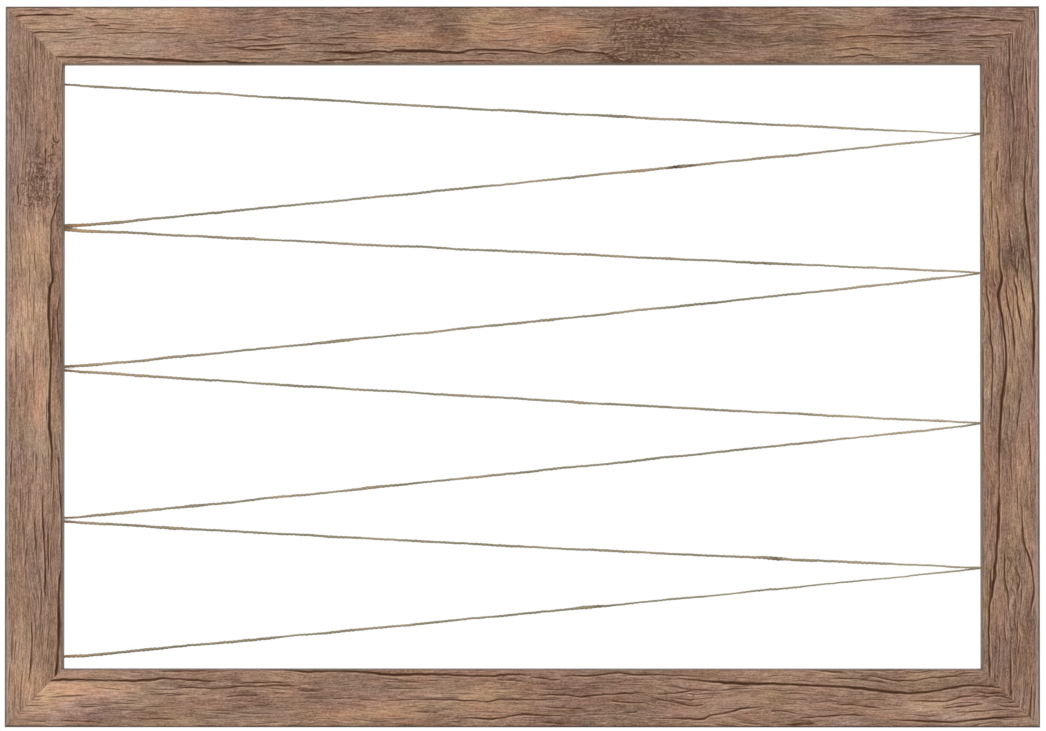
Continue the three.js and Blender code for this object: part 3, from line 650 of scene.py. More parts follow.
# A crack is its width and then the places it runs through, each as along and in
CRACKS = {
    "top": [
        (1.3, 4, 6.5, 16, 5.4, 30, 5.3, 44, 5.3), (0.8, 14, 18, 22, 16.6, 48, 16.8),
        (0.6, 54, 17.4, 86, 16.8, 103, 17.1, 124, 18.1), (0.8, 51, 7, 58, 8.2), (0.8, 55, 12, 67, 12.3),
        (0.6, 50, 9.6, 60, 10),
        (1.7, 28, 32.2, 57, 32.4, 82, 33.2, 103, 34.2, 124, 35.4, 139, 35, 151, 36.3, 166, 35.8),
        (0.7, 124, 23.1, 131, 23.6, 140, 22.5, 163, 20.9, 170, 22),
        (1, 140, 25.9, 152, 26.3, 159, 25.3, 175, 24.5, 184, 23.6, 192, 24),
        (1.1, 148, 27.4, 159, 27.8, 169, 27.6, 180, 26.9), (0.8, 165, 19.1, 174, 19.8, 188, 18.5),
        (0.9, 192, 23.8, 205, 24, 217, 24.4), (0.9, 205, 20.3, 215, 20.1, 229, 20.4),
        (0.7, 211, 18.5, 220, 17.4, 226, 16.6), (0.9, 182, 35, 194, 35.2, 201, 35.8),
        (1.2, 198, 35, 208, 34.3, 217, 34.1, 228, 33.7),
        (1.8, 198, 28.7, 213, 29.3, 224, 29.7, 236, 28.8, 246, 29.3, 251, 28.4, 272, 28.8, 290, 29.5,
         300, 27.7, 330, 28.6, 344, 30.5), (0.6, 236, 30.3, 243, 31.2), (1, 300, 30.4, 316, 30.2),
        (0.9, 275, 35.4, 283, 35.2, 294, 34.7, 314, 35), (0.8, 217, 3.9, 226, 4.7, 235, 3.9),
        (0.7, 180, 8.3, 185, 8.5, 191, 8.3),
        (1.4, 344, 30.5, 355, 28.1, 362, 27.9, 366, 29.2, 374, 29.4, 381, 30, 387, 31.8),
        (1, 383, 31.8, 390, 33.7, 396, 35.6), (0.7, 364, 13.9, 373, 13.6, 383, 13.9),
        (0.9, 389.3, 9, 389.5, 12.3, 389, 16.3), (0.7, 389.5, 9.5, 392, 10.3, 394, 9.7),
        (1, 395.5, 9, 399.3, 8.4, 403.3, 8.6, 403.7, 12.3, 402.4, 16.4),
        (0.7, 399, 16.8, 401, 18.2, 405.5, 17.4, 409.5, 18.2), (0.8, 401, 21, 401, 26),
        (0.9, 400.4, 20.7, 403.3, 20, 405.8, 21, 406, 25.4),
        (0.9, 391.3, 19, 390.2, 21.4, 394, 23, 395, 25.9),
        (1, 395.5, 26.3, 406, 26.3, 410, 27, 412.4, 25.8, 418, 25.3, 426, 25.6),
        (0.8, 415, 17.4, 412.4, 20.2, 408.4, 23, 410, 24.2), (0.9, 397.6, 26.6, 398, 30.5),
        (0.9, 403.3, 26.6, 403.3, 29.6), (1.2, 410, 27, 411, 30.5, 410, 32.2),
        (1.1, 415.5, 26.5, 416, 28.8, 417, 31), (0.9, 420, 26.5, 421, 29),
        (0.7, 401, 32.2, 405.5, 32.3, 410, 33), (1.1, 425.5, 29, 430.6, 30.5, 429.7, 32.2, 426, 32.8),
        (0.7, 430.6, 34.5, 434, 33.6), (0.7, 436, 30.5, 441, 32.2), (0.7, 423, 16.8, 426.6, 19, 427.2, 22),
        (1, 381, 30.5, 385.6, 29.6, 390.7, 28.2), (1, 385.6, 32.8, 389.6, 31.9, 392.4, 35),
        (0.8, 443, 10, 464, 9.8), (1.1, 575, 9.4, 590, 8.6, 600, 7.7, 612, 7, 635, 8),
        (1.2, 625, 8.8, 640, 9.2, 650, 9.6),
        (1.1, 529, 20.3, 546, 19.1, 557, 18.9, 574, 19.6, 586, 18.9, 594, 18.2),
        (0.9, 579, 16.8, 589, 17, 608, 16.1), (0.8, 564, 23.7, 585, 23.9),
        (0.8, 529, 28.5, 543, 26.9, 553, 27.7), (0.9, 527, 32.8, 541, 32.1, 548, 31, 558, 32.3),
        (0.9, 614, 19, 625, 19.2, 644, 18), (0.8, 618, 26.2, 633, 26.7), (0.7, 589, 27.9, 603, 28.4),
    ],
    "bottom": [
        (1.5, 24, 28.5, 35, 30.3, 56, 30.2, 78, 29.7, 94, 30.3, 103, 31.2, 121, 30, 135, 29.4),
        (1, 99, 35.5, 115, 36, 130, 36), (0.6, 35, 4.5, 62, 3.4),
        (1, 110, 25.2, 119, 25.5, 128, 24.9, 142, 25.3, 150, 26.4, 160, 26, 176, 26.9, 189, 26.2),
        (1, 147, 28.3, 160, 28.5, 170, 28.9, 180, 28.5), (0.7, 95, 21.4, 108, 21.2, 118, 21),
        (0.8, 141, 19.8, 153, 20.3, 162, 20.5), (0.6, 171, 22.1, 180, 22),
        (0.8, 187, 23.7, 196, 23.6, 204, 24), (0.6, 158, 14.1, 170, 14.4), (0.7, 91, 5.5, 110, 5.3),
        (1.6, 163, 37, 182, 36.6, 193, 35.5, 213, 35.9, 232, 35.1, 245, 33.6, 272, 33.9, 289, 33.2,
         311, 32.7, 318, 33.6, 336, 33.4), (0.7, 208, 18.5, 224, 18.8), (0.7, 226, 17.9, 238, 17.3),
        (0.6, 243, 29.1, 265, 28.8),
        (0.9, 250, 17.8, 272, 18, 294, 17.3, 304, 16.5, 310, 16.8, 318, 18, 331, 16.5),
        (0.7, 322, 18.1, 345, 17.5), (0.7, 262, 10, 277, 9.7),
        (1.2, 287, 6.1, 304, 5.8, 311, 5.3, 321, 7, 331, 8.5, 343, 7.8, 358, 7.5),
        (0.8, 314, 30.7, 331, 29.5), (0.9, 335, 32.2, 345, 31, 355, 30.6),
        (1.1, 354, 33.2, 372, 32.9, 384, 34.1, 394, 34.6, 405, 33.6, 421, 33.5, 445, 32.6),
        (1.2, 340, 20.6, 355, 20.9, 366, 19.7, 371, 20, 382, 20.9, 394, 21.7, 406, 22.1),
        (0.8, 342, 13.3, 360, 12.4, 371, 11.7), (0.9, 386, 17, 396, 16.1, 410, 15.8),
        (0.8, 394, 9.6, 404, 10.2), (0.9, 343, 3.5, 358, 2.5),
        (1.8, 428, 31.4, 450, 29.4, 473, 27.8, 489, 28, 507, 27.1, 528, 26.2, 548, 24.8, 564, 22.8, 578, 22,
         592, 23.2, 603, 25.3, 617, 26.9, 636, 25.3), (0.9, 416, 21.2, 433, 22.6, 440, 24.2, 451, 23.7),
        (0.6, 434, 21.8, 438, 21.2, 439.8, 19.2, 438, 17.4, 434.5, 17),
        (0.9, 414, 18.6, 426, 16.5, 438, 13.9, 446, 14.7),
        (1.2, 416, 6.1, 432, 5.7, 445, 5.5, 450, 7.5, 464, 10.4, 469, 11.9, 485, 13.4),
        (0.8, 488, 10.4, 495, 10.7, 504, 9.6), (1, 507, 6.4, 521, 6.9, 536, 8.1, 549, 8),
        (0.9, 530, 15.3, 544, 14.1, 560, 12.4), (0.8, 525, 31.4, 542, 31.2, 552, 30, 562, 28.3),
        (0.8, 546, 33.2, 556, 32.4, 566, 30.2, 580, 29.8, 592, 31.9, 621, 33.3),
        (0.8, 519, 36.2, 537, 35.1), (1, 548, 36.6, 574, 36.6), (1.3, 498, 2, 517, 2.5),
        (0.9, 576, 17.4, 599, 16.8, 610, 19.5, 619, 21.1), (0.9, 598, 12.3, 610, 13.6, 624, 15.2),
        (1.3, 564, 5.1, 584, 4.3, 605, 3.5, 624, 5.6, 655, 7.4), (0.8, 622, 19.5, 634, 20, 644, 17.5),
        (0.8, 606, 9.5, 622, 10.5, 640, 12), (0.9, 619, 23, 627, 21.8, 637, 22.3),
        (0.8, 633, 14.6, 641, 13.2, 649, 13.6), (0.7, 617, 27.4, 624, 26.2, 631, 27),
    ],
    "left": [
        (0.9, 113.5, 8.4, 117.4, 7.7, 121.4, 8.4, 127.3, 8), (0.7, 123, 10, 127, 9.8),
        (0.9, 113.3, 8.9, 113.4, 12.2, 114, 16.7, 117.4, 17.4),
        (0.9, 122, 17.4, 122.8, 19, 121, 22, 120.3, 27), (0.8, 126.4, 11.5, 127.5, 14, 126.8, 17),
        (1.2, 90, 25.7, 97, 25.6, 103, 26), (1, 104, 21.6, 108, 22.3, 109, 24, 108, 26, 104, 26.3),
        (1, 110.5, 19.8, 109.4, 23.4, 110.5, 26.3, 114.7, 26.6, 118.5, 26.5),
        (0.9, 113.3, 26.5, 112.8, 29.7, 113, 32.6), (0.9, 106.4, 33, 110, 32.5, 118, 33),
        (0.9, 122, 23, 125.5, 23.4, 127.7, 23), (0.9, 120.5, 26.3, 124, 26.5, 128.6, 26.3),
        (0.7, 105, 28.3, 105.3, 30.6, 106.2, 32.4), (1, 96, 27, 95, 28.8, 94.5, 32),
        (0.8, 100, 27.4, 99.7, 30.6), (1, 81.6, 30.6, 85.6, 31.2, 87, 32.8, 85.6, 34.6),
        (0.9, 88, 30.6, 91, 29.7), (0.7, 113, 22, 118, 22.3), (0.7, 118, 18.5, 117, 20.3, 119, 21.6),
        (1.2, 118, 36, 122, 33.7, 126.4, 32.8, 132.6, 31.2, 137, 29.7, 149, 29.2),
        (1.7, 147, 29.2, 161, 29.2, 174, 30.5, 180, 28.4, 196, 27.9, 224, 29.4, 242, 28.7, 266, 28.3,
         279, 29.5, 307, 29.7), (0.9, 195, 30.8, 210, 30.5, 222, 29.7),
        (0.8, 184, 35.6, 196, 33.5, 215, 34.3), (0.7, 211, 35.6, 225, 35.6), (0.8, 286, 34, 307, 34.8),
        (0.7, 277, 4.8, 286, 4.2, 297, 3.9), (0.7, 284, 20, 299, 20),
        (0.9, 327, 18.7, 338, 19.5, 348, 19.2), (1.2, 312, 24, 327, 24.3, 342, 25.1, 362, 25.8, 379, 25.6),
        (0.9, 333, 27.7, 362, 27.9), (0.7, 372, 23.5, 389, 23), (0.7, 345, 13.9, 358, 13.1),
        (0.9, 392, 17.1, 406, 17.6, 421, 16.6, 431, 15.5),
        (1.8, 360, 35.7, 373, 34.6, 399, 34.6, 418, 33.6, 430, 32.5),
        (1, 307, 34.6, 316, 35.7, 338, 36.2, 353, 36.2),
    ],
    "right": [
        (0.9, 37, 8.7, 60, 7.7, 76, 7.1, 87, 7.2),
        (1.5, 95, 8.7, 113, 9.5, 124, 9.8, 136, 8.5, 152, 6.9, 171, 5.4, 192, 3.8, 224, 3.8, 236, 4.3),
        (1, 14, 18.5, 47, 19.3, 64, 16.6, 78, 16.3), (0.8, 87, 19.1, 113, 18.4), (0.8, 92, 26.5, 106, 26.7),
        (0.7, 111, 31, 124, 30.5), (0.7, 53, 33.6, 73, 33.6), (0.9, 129, 27.8, 143, 26.2, 152, 25.7),
        (0.9, 120, 36.1, 143, 36.2, 154, 35.4, 168, 35.2),
        (1.1, 178, 21.5, 183, 21.3, 187, 20.6, 195, 19.3, 202, 17.7, 213, 16.4, 226, 16),
        (1.2, 173, 17, 180, 15, 187, 14.4, 196, 13, 208, 11), (0.9, 174, 12.6, 182, 11.2, 189, 9.7),
        (0.9, 141, 20.2, 152, 18.4, 158, 17.5), (0.9, 160, 13.5, 167, 13.5, 172, 14.6),
        (0.8, 155, 10.3, 162, 10.1),
        (1.8, 143, 25.9, 165, 25.5, 172, 24.2, 177, 24.6, 185, 26.4, 196, 24.6, 211, 22.4, 226, 21.3,
         236, 22.1, 251, 24, 270, 25.3, 289, 25.9, 310, 26),
        (1, 174, 34.3, 186, 33.2, 194, 32.3, 202, 31.6, 213, 31.2, 224, 30, 243, 30.4, 268, 31.4),
        (0.8, 246, 11.7, 254, 12.8, 272, 14.9), (0.9, 262, 7.5, 279, 6.4, 296, 5),
        (0.9, 215, 36.2, 251, 36.2, 284, 36.2),
        (1.2, 317, 11.7, 340, 10.6, 354, 6.3, 367, 4.2, 377, 4.4, 389, 6.9),
        (1.8, 305, 26, 328, 26.5, 349, 27.8, 370, 29.9, 381, 31.8),
        (1.3, 359, 31.3, 381, 32.1, 402, 32.7, 430, 31.8),
        (0.8, 359, 15.4, 363, 13.3, 369, 13.5, 375, 14.9),
        (0.9, 347, 22.7, 363, 22.7, 375, 20.7, 386, 20.2), (0.8, 392, 14.4, 405, 14.6),
        (1.1, 409, 19.1, 434, 18.6, 440, 18.9), (0.9, 432, 5.3, 455, 6.3),
    ],
}
# Cloudy places: along, in, half length, half width, lighter or darker, golden or grey
CLOUDS = {
    "top": [
        (50, 18, 75, 40, 0.2, 0.2), (120, 9, 26, 6, 0.06, 0.4), (148, 12, 14, 9, -0.14, -0.7),
        (208, 11, 20, 10, -0.14, -0.9), (240, 20, 30, 4, 0.09, 0.8), (250, 9, 8, 7, -0.1, 0),
        (284, 12, 12, 7, -0.28, 0.1), (306, 13, 16, 10, 0.24, 1), (350, 14, 22, 13, 0.09, 0.8),
        (370, 18, 14, 5, 0.06, 0.6), (410, 20, 30, 20, -0.16, -0.5), (440, 27, 16, 7, 0.06, 0.7),
        (456, 15, 20, 12, -0.24, -1), (495, 18, 25, 25, -0.15, 0.4), (519, 14, 6, 14, -0.08, -0.3),
        (546, 16, 18, 14, 0.05, 0.9), (582, 8, 14, 8, -0.16, -1), (610, 20, 40, 25, -0.12, -0.7),
        (392, 35, 12, 4, -0.3, 0), (610, 5, 50, 5, 0.02, -0.9), (361, 25, 7, 4, -0.16, -0.3),
    ],
    "bottom": [
        (28, 18, 22, 12, 0.41, 0.7), (62, 24, 26, 6, 0.38, 0.5), (66, 10, 28, 7, -0.06, -0.9),
        (65, 34, 30, 2.5, 0.15, 0), (114, 22, 20, 4.5, 0.2, 0.3), (153, 22, 12, 8, -0.08, -0.4),
        (200, 24, 10, 6, -0.12, -0.4), (230, 9, 36, 7, 0.12, 0.7), (305, 19, 12, 6, 0.15, 0.8),
        (276, 15, 10, 8, -0.03, -0.5), (365, 20, 22, 14, -0.07, -0.7), (290, 20, 32, 16, 0.08, 0.3),
        (350, 4, 18, 5, -0.2, -0.8), (430, 30, 30, 6, 0.04, 0), (480, 18, 40, 10, 0.05, 0.3),
        (600, 12, 32, 8, 0.2, 0.3), (624, 7, 12, 5, 0.06, 0.7), (640, 20, 9, 8, -0.2, -0.9),
        (625, 22, 12, 6, -0.08, 0), (510, 2, 12, 3, -0.2, -0.5), (590, 3, 75, 3.5, 0.02, -0.9),
    ],
    "left": [
        (60, 12, 25, 5, -0.09, -0.7), (108, 20, 26, 16, 0.05, -0.5), (90, 3, 90, 3.5, 0.03, -0.9),
        (114, 25, 14, 9, -0.05, -0.4), (150, 16, 22, 14, 0.19, 0.6), (204, 14, 28, 14, 0.32, 0.6),
        (240, 8, 14, 8, -0.15, -0.9), (178, 22, 8, 5, -0.1, -0.4), (265, 22, 30, 10, 0.27, 0.6),
        (290, 10, 14, 8, -0.08, -0.9), (320, 20, 25, 18, 0.01, -0.6), (370, 16, 20, 16, 0, -0.4),
        (420, 12, 25, 12, 0.17, 0.3), (434, 20, 8, 14, 0.08, 0.7), (218, 34, 26, 4, -0.25, -0.5),
        (128, 35, 22, 4, -0.28, -0.4),
    ],
    "right": [
        (50, 20, 50, 30, -0.14, -0.9), (60, 4, 60, 5, 0.04, -0.8), (260, 2, 150, 4, 0.05, -0.9),
        (75, 29, 30, 5, 0.06, 0.8), (130, 30, 30, 7, 0.12, 0.9), (163, 17, 14, 10, -0.3, -0.8),
        (192, 14, 18, 9, 0.27, 1), (162, 31, 14, 5, 0.1, 0.7), (215, 20, 16, 7, 0.1, 0),
        (262, 12, 30, 10, 0.03, 0), (330, 20, 30, 14, 0.04, 0.3), (392, 6, 12, 5, -0.2, -0.6),
        (415, 10, 12, 7, -0.08, 0.5), (425, 25, 30, 12, -0.01, -0.4), (418, 22, 14, 9, -0.06, -0.5),
    ],
}
# Where the grain swings to one side: along, in, half length, half width, how far
SWINGS = {
    "top": [(344, 30, 18, 8, 1.5), (410, 20, 30, 16, -2.5)],
    "bottom": [(578, 22, 42, 16, -5), (440, 14, 22, 9, -3), (450, 8, 14, 6, 2)],
    "left": [(120, 20, 26, 14, -2.5), (176, 30, 16, 7, 1.5)],
    "right": [(226, 22, 42, 16, -5), (370, 8, 30, 9, -5), (163, 20, 14, 9, 2)],
}
# Knotted places, where small cracks cross the grain: along, in, half length, half width
CHECKED = {"top": (410, 21, 30, 16), "left": (112, 22, 22, 14)}

# How far apart the rails lie in the pattern of the grain, along it and into it
RAIL_SHIFT = 900
LAYER_SHIFT = 31
# Cracks: how far outward the pale edge is, how much the line wavers, and how far off points are measured
LIT_SHIFT = 0.95
CRACK_WAVER = 0.16
CRACK_MARGIN = 3.0


def crack_reach(along, inward, cracks, seed):
    """How far inside the nearest crack each point lies, in mm, or less than zero outside"""
    reach = np.full(along.shape, -CRACK_MARGIN)
    for number, (width, *places) in enumerate(cracks):
        line = smooth_line(np.reshape(places, (-1, 2)), 8)
        line[:, 1] += CRACK_WAVER * wander(line[:, 0], line[:, 1], 9, seed + number)
        low, high = line.min(0) - CRACK_MARGIN, line.max(0) + CRACK_MARGIN
        near = np.flatnonzero((along > low[0]) & (along < high[0]) & (inward > low[1]) & (inward < high[1]))
        if not len(near):
            continue
        start, end = line[:-1], line[1:]
        step = end - start
        point = np.stack([along[near], inward[near]], -1)[:, None, :]
        share = np.clip(((point - start) * step).sum(-1) / (step ** 2).sum(-1), 0, 1)
        distance = np.linalg.norm(point - start - share[..., None] * step, axis=-1)
        place = (np.arange(len(step)) + share) / len(step)
        taper = np.minimum(1, 0.3 + 5 * np.minimum(place, 1 - place))
        half = width / 2 * taper * (1 + 0.2 * np.sin(TURN * (2.3 * place + 0.37 * number)))
        reach[near] = np.maximum(reach[near], (half - distance).max(1))
    return reach


def around(along, inward, place):
    """1 in the middle of an oval place and less with distance, with a ragged edge"""
    middle_along, middle_in, half_length, half_width = place[:4]
    ragged = 1 + 0.28 * wander(along, inward * 2, 16, int(middle_along * 7 + middle_in))
    far = ((along - middle_along) / half_length) ** 2 + ((inward - middle_in) / half_width) ** 2
    return np.exp(-0.8 * far * np.clip(ragged, 0.3, None))


def print_fields(name, seed, along, inward, around_section):
    """What the wood's material reads at each point. On the front, inward and around_section agree"""
    inward = np.clip(inward, 0, RAIL_WIDTH / MM)
    swing = 0.9 * wander(along, inward * 2.5, 75, seed)
    for place in SWINGS[name]:
        swing += place[4] * around(along, inward, place)
    tone = np.zeros(along.shape)
    gold = np.zeros(along.shape)
    for place in CLOUDS[name]:
        share = around(along, inward, place)
        tone += place[4] * share
        gold += place[5] * share
    layer = np.full(along.shape, float(LAYER_SHIFT * seed))
    crack, lit = (crack_reach(along, around_section + shift, CRACKS[name], seed * 100)
                  for shift in (0, LIT_SHIFT))
    return {
        "grain_place": np.stack([along + RAIL_SHIFT * seed, around_section - swing, layer], -1),
        "tone": tone,
        "gold": np.clip(gold, -1, 1),
        "checked": around(along, inward, CHECKED[name]) if name in CHECKED else np.zeros(along.shape),
        "upright": np.full(along.shape, float(name in ("left", "right"))),
        "crack": crack,
        "lit": lit,
    }


def wood_material():
    """Barn wood printed on foil, wrapped round fibreboard that stays bare in the rabbet and on the back"""
    shader = Shader("barn_wood_foil")
    place = shader.field("grain_place", "Vector")
    broad = shader.noise(place, (55, 13, 1), 2, 0.5, 1.7, strength=0.26)
    streaks = shader.noise(place, (28, 2.2, 1), 2, 0.6, 5.2, strength=0.28)
    grain = shader.noise(place, (9, 0.72, 1), 2, 0.6, 9.4, strength=0.43)
    speckle = shader.noise(place, (1.4, 0.6, 1), 1, 0.6, 2.6, strength=0.44)
    fibres = shader.noise(place, (7, 0.16, 1), 2, 0.65, 53.0, strength=0.22)
    level = shader.total(shader.field("tone"), broad, streaks, grain, speckle, fibres, 0.485)
    knotted = shader.fade(shader.field("checked"), 0.3, 0.8)
    checks = shader.total(shader.fade(shader.cells(place, (3.4, 2.6, 1), 4.4), 0.13, 0.02, 0, -0.28),
                          shader.noise(place, (2.6, 1.9, 1), 2, 0.6, 14.0, strength=0.62))
    level = shader.math("MULTIPLY_ADD", checks, knotted, level)
    ground = shader.ramp(level, (0.0, 86, 56, 38), (0.25, 119, 89, 70), (0.5, 152, 120, 100),
                         (0.75, 180, 146, 124), (1.0, 211, 177, 156))
    ground = print_dashes(shader, place, print_tints(shader, place, ground))
    foil, core, threads = print_cracks(shader, place, knotted, ground)
    board, felt = board_colour(shader)
    reach = shader.total(shader.field("foil_reach"), shader.noise(place, (6, 2, 1), 2, strength=0.3))
    wrapped = shader.fade(reach, -0.06, 0.06)
    # The arrises get painted shade and a painted highlight
    colour = shader.mix(wrapped, board, edge_shade_and_highlight(shader, place, foil))
    relief = shader.total(shader.product(core, -0.8), shader.product(grain, 0.8),
                          shader.product(fibres, 0.7), shader.product(threads, core, 0.5))
    height = shader.mix(wrapped, felt, relief)
    roughness = shader.math("MULTIPLY_ADD", core, 0.14, shader.math("MULTIPLY_ADD", grain, -0.12, 0.56))
    gloss = shader.math("MULTIPLY_ADD", core, -0.2, 0.24)
    return shader.set(Base_Color=colour, Roughness=roughness, Specular_IOR_Level=gloss,
                      Normal=shader.bump(height, 0.10 * MM))


def print_tints(shader, place, ground):
    """Golden and grey places as listed, and chance drifts between pink and olive and between warm and
    cool. A tint multiplies the colour, so 255 leaves it as it is"""
    gold = shader.field("gold")
    pink = shader.noise(place, (34, 12, 1), 1, 0.5, 41.0)
    warm = shader.noise(place, (40, 15, 1), 1, 0.5, 57.0)
    for amount, tint in (
        (shader.fade(gold, 0, 1, 0, 0.85), (264, 252, 231)),
        (shader.fade(gold, 0, -1, 0, 0.85), (245, 246, 262)),
        (shader.fade(pink, 0.48, 0.66), (257, 249, 251)), (shader.fade(pink, 0.46, 0.3), (252, 257, 251)),
        (shader.fade(warm, 0.5, 0.66), (258, 255, 248)), (shader.fade(warm, 0.48, 0.32), (250, 254, 260)),
    ):
        ground = shader.mix(amount, ground, linear(*tint), "MULTIPLY")
    return ground


def print_dashes(shader, place, ground):
    """Pale and dark dashes, closer together where the print is busy"""
    busy = shader.fade(shader.noise(place, (60, 11, 1), 1, 0.5, 33.0), 0.38, 0.64)
    long_dash, lit_dash = shader.dashes(place, (30, 3.0), 0.75, 0.36, busy, 3.7)
    short_dash, _ = shader.dashes(place, (12, 1.3), 0.48, 0.8, busy, 11.3)
    pale_dash, _ = shader.dashes(place, (10, 1.5), 0.45, 0.8, busy, 17.9)
    for dash, low, strength, colour in (
        (shader.math("MAXIMUM", pale_dash, lit_dash), -0.12, 0.45, (204, 171, 146)),
        (short_dash, -0.14, 0.5, (102, 69, 50)), (long_dash, -0.14, 0.75, (84, 52, 35)),
    ):
        ground = shader.mix(shader.fade(dash, low, 0.2, 0, strength), ground, linear(*colour))
    return ground


def print_cracks(shader, place, knotted, ground):
    """Cracks with a dark core, a halo and a broken pale edge. Gives the colour, the core and the threads of
    wood in it"""
    rough_edge = shader.noise(place, (2.2, 0.5, 1), 1, 0.6, 7.7, strength=0.16)
    depth = shader.total(shader.field("crack"), rough_edge, shader.product(knotted, -0.17))
    pale = shader.fade(shader.total(shader.field("lit"), rough_edge), -0.2, 0.25, 0, 0.55)
    unbroken = shader.fade(shader.noise(place, (10, 1, 1), 1, 0.5, 27.0), 0.36, 0.6)
    pale = shader.product(pale, unbroken, shader.fade(knotted, 1, 0, 0.3, 1))
    ground = shader.mix(pale, ground, linear(208, 174, 148))
    halo = shader.fade(depth, -0.8, 0.0, 0, 0.2)
    core = shader.product(shader.fade(depth, -0.14, 0.2, 0, 0.96), shader.fade(knotted, 0, 1, 1, 0.84))
    threads = shader.noise(place, (5, 0.2, 1), 2, 0.65, 61.0, strength=0.9)
    sunk = shader.total(shader.noise(place, (14, 0.8, 1), 2, 0.5, 19.0), threads,
                        shader.fade(depth, 0.1, 0.8, 0.3, -0.2))
    dark = shader.mix(shader.fade(sunk, 0.1, 1.0), linear(58, 32, 20), linear(104, 70, 49))
    return shader.mix(core, shader.mix(halo, ground, linear(102, 69, 52)), dark), core, threads


def edge_shade_and_highlight(shader, place, foil):
    """Painted shade on both arrises and a painted highlight beside the outer one. The print is painted dark
    on the outer arris and duller on the inner one, as shade. On the stiles the painted shade on the outer
    arris is greyer, with a pale strip of painted highlight beside it"""
    section = shader.field("section")
    upright = shader.field("upright")
    ragged = shader.total(section, shader.noise(place, (7, 0.6, 1), 2, 0.6, 71.0, strength=0.9))
    # Painted shade: the print is darkened on the outer arris
    outer_edge_shade = shader.product(shader.fade(ragged, -1.2, -0.5), shader.fade(ragged, 1.4, 0.9))
    # Painted highlight: a pale strip beside the outer arris, laid on the stiles only
    pale = shader.product(shader.fade(ragged, 1.2, 1.5), shader.fade(ragged, 2.8, 2.2))
    with_edge_highlight = shader.mix(shader.product(upright, 0.45, pale), foil, linear(176, 160, 152))
    # Painted shade: the print on the inner arris is duller and greyer
    with_inner_edge_shade = shader.mix(shader.fade(section, 35.7, 36.6, 0, 0.6), with_edge_highlight, linear(108, 97, 88))
    # The colours of the painted shade on the outer arris, darker on the rails and greyer on the stiles
    dark = shader.mix(upright, linear(64, 55, 48), linear(98, 88, 82))
    return shader.mix(shader.product(outer_edge_shade, 0.8), with_inner_edge_shade, dark)


def board_colour(shader):
    """Bare fibreboard: a felt of pale and dark specks, as a colour and as a height"""
    place = shader.object_place()
    felt = shader.noise(place, (0.4, 0.4, 0.4), 3, 0.7, 2.0)
    cloud = shader.noise(place, (22, 22, 22), 2, 0.5, 4.0, strength=0.12)
    level = shader.total(felt, cloud)
    return shader.ramp(level, (0.22, 118, 93, 69), (0.5, 157, 130, 100), (0.8, 188, 163, 132)), felt


# Rails: one moulding, swept along four lengths that meet at the mitres. Lengths are in mm

STATION_STEP = 1.4
KNOT_STATION_STEP = 0.5
KNOT_STATIONS = {"top": (380, 461), "left": (51, 150)}
SECTION_STEP = 0.36
MITRE_OFFSETS = [0, 0.12, 0.35, 0.8]
MITRE_JOINT = 0.002
MITRE_SOFTNESS = 0.16
CRACK_DEPTH = 0.22
# Points less far back than this take part in the softened mitres and the carved cracks
FRONT_SKIN = 0.4
FOIL_ON_BACK = 6
BACK_INSET = 0.08


def moulding_section():
    """Points round the moulding: in from the outer edge, back from the front, place round the section and
    how far each lies inside the foil. They start in the middle of the back and go round by the outer edge"""
    width, lip, radius, rabbet = (size / MM for size in (RAIL_WIDTH, LIP_DEPTH, ARRIS_RADIUS, RABBET_WIDTH))
    depth = RAIL_DEPTH / MM
    back = depth - BACK_INSET
    arris = math.pi / 2 * radius
    points = []

    def run(start, end, steps, place):
        for share in np.arange(steps) / steps:
            x = start[0] + (end[0] - start[0]) * share
            y = start[1] + (end[1] - start[1]) * share
            points.append((x, y, place + share * math.dist(start, end)))

    middle = (width - rabbet) / 2
    wall_end = radius - arris - (depth - radius)
    run((middle, back), (0, back), 10, wall_end - middle)
    run((0, back), (0, radius), 10, wall_end)
    for x, y in arc(radius, radius, radius, math.pi, 1.5 * math.pi, 6)[:-1]:
        angle = math.atan2(radius - y, radius - x)
        points.append((x, y, radius - arris + radius * angle))
    run((radius, 0), (width - radius, 0), round((width - 2 * radius) / SECTION_STEP), radius)
    for x, y in arc(width - radius, radius, radius, 1.5 * math.pi, 2 * math.pi, 6)[:-1]:
        angle = math.atan2(x - (width - radius), radius - y)
        points.append((x, y, width - radius + radius * angle))
    lip_start = width - radius + arris
    lip_end = lip_start + lip - radius
    run((width, radius), (width, lip), 8, lip_start)
    run((width, lip), (width - rabbet, lip), 6, lip_end)
    run((width - rabbet, lip), (width - rabbet, back), 6, lip_end + rabbet)
    run((width - rabbet, back), (middle, back), 8, lip_end + rabbet + depth - lip)
    inward, depths, section = np.array(points).T
    foil = np.minimum(section - (wall_end - FOIL_ON_BACK), lip_end - section)
    return inward, depths, section, np.clip(foil, -3, 3)


def stations(name, length):
    """Where along a rail its sections lie, as shares of its length. They lie closer together at its knots"""
    low, high = KNOT_STATIONS.get(name, (0, 0))
    parts = [np.arange(0, low, STATION_STEP), np.arange(low, high, KNOT_STATION_STEP),
             np.arange(high, length - STATION_STEP / 2, STATION_STEP), [length]]
    return np.concatenate(parts) / length


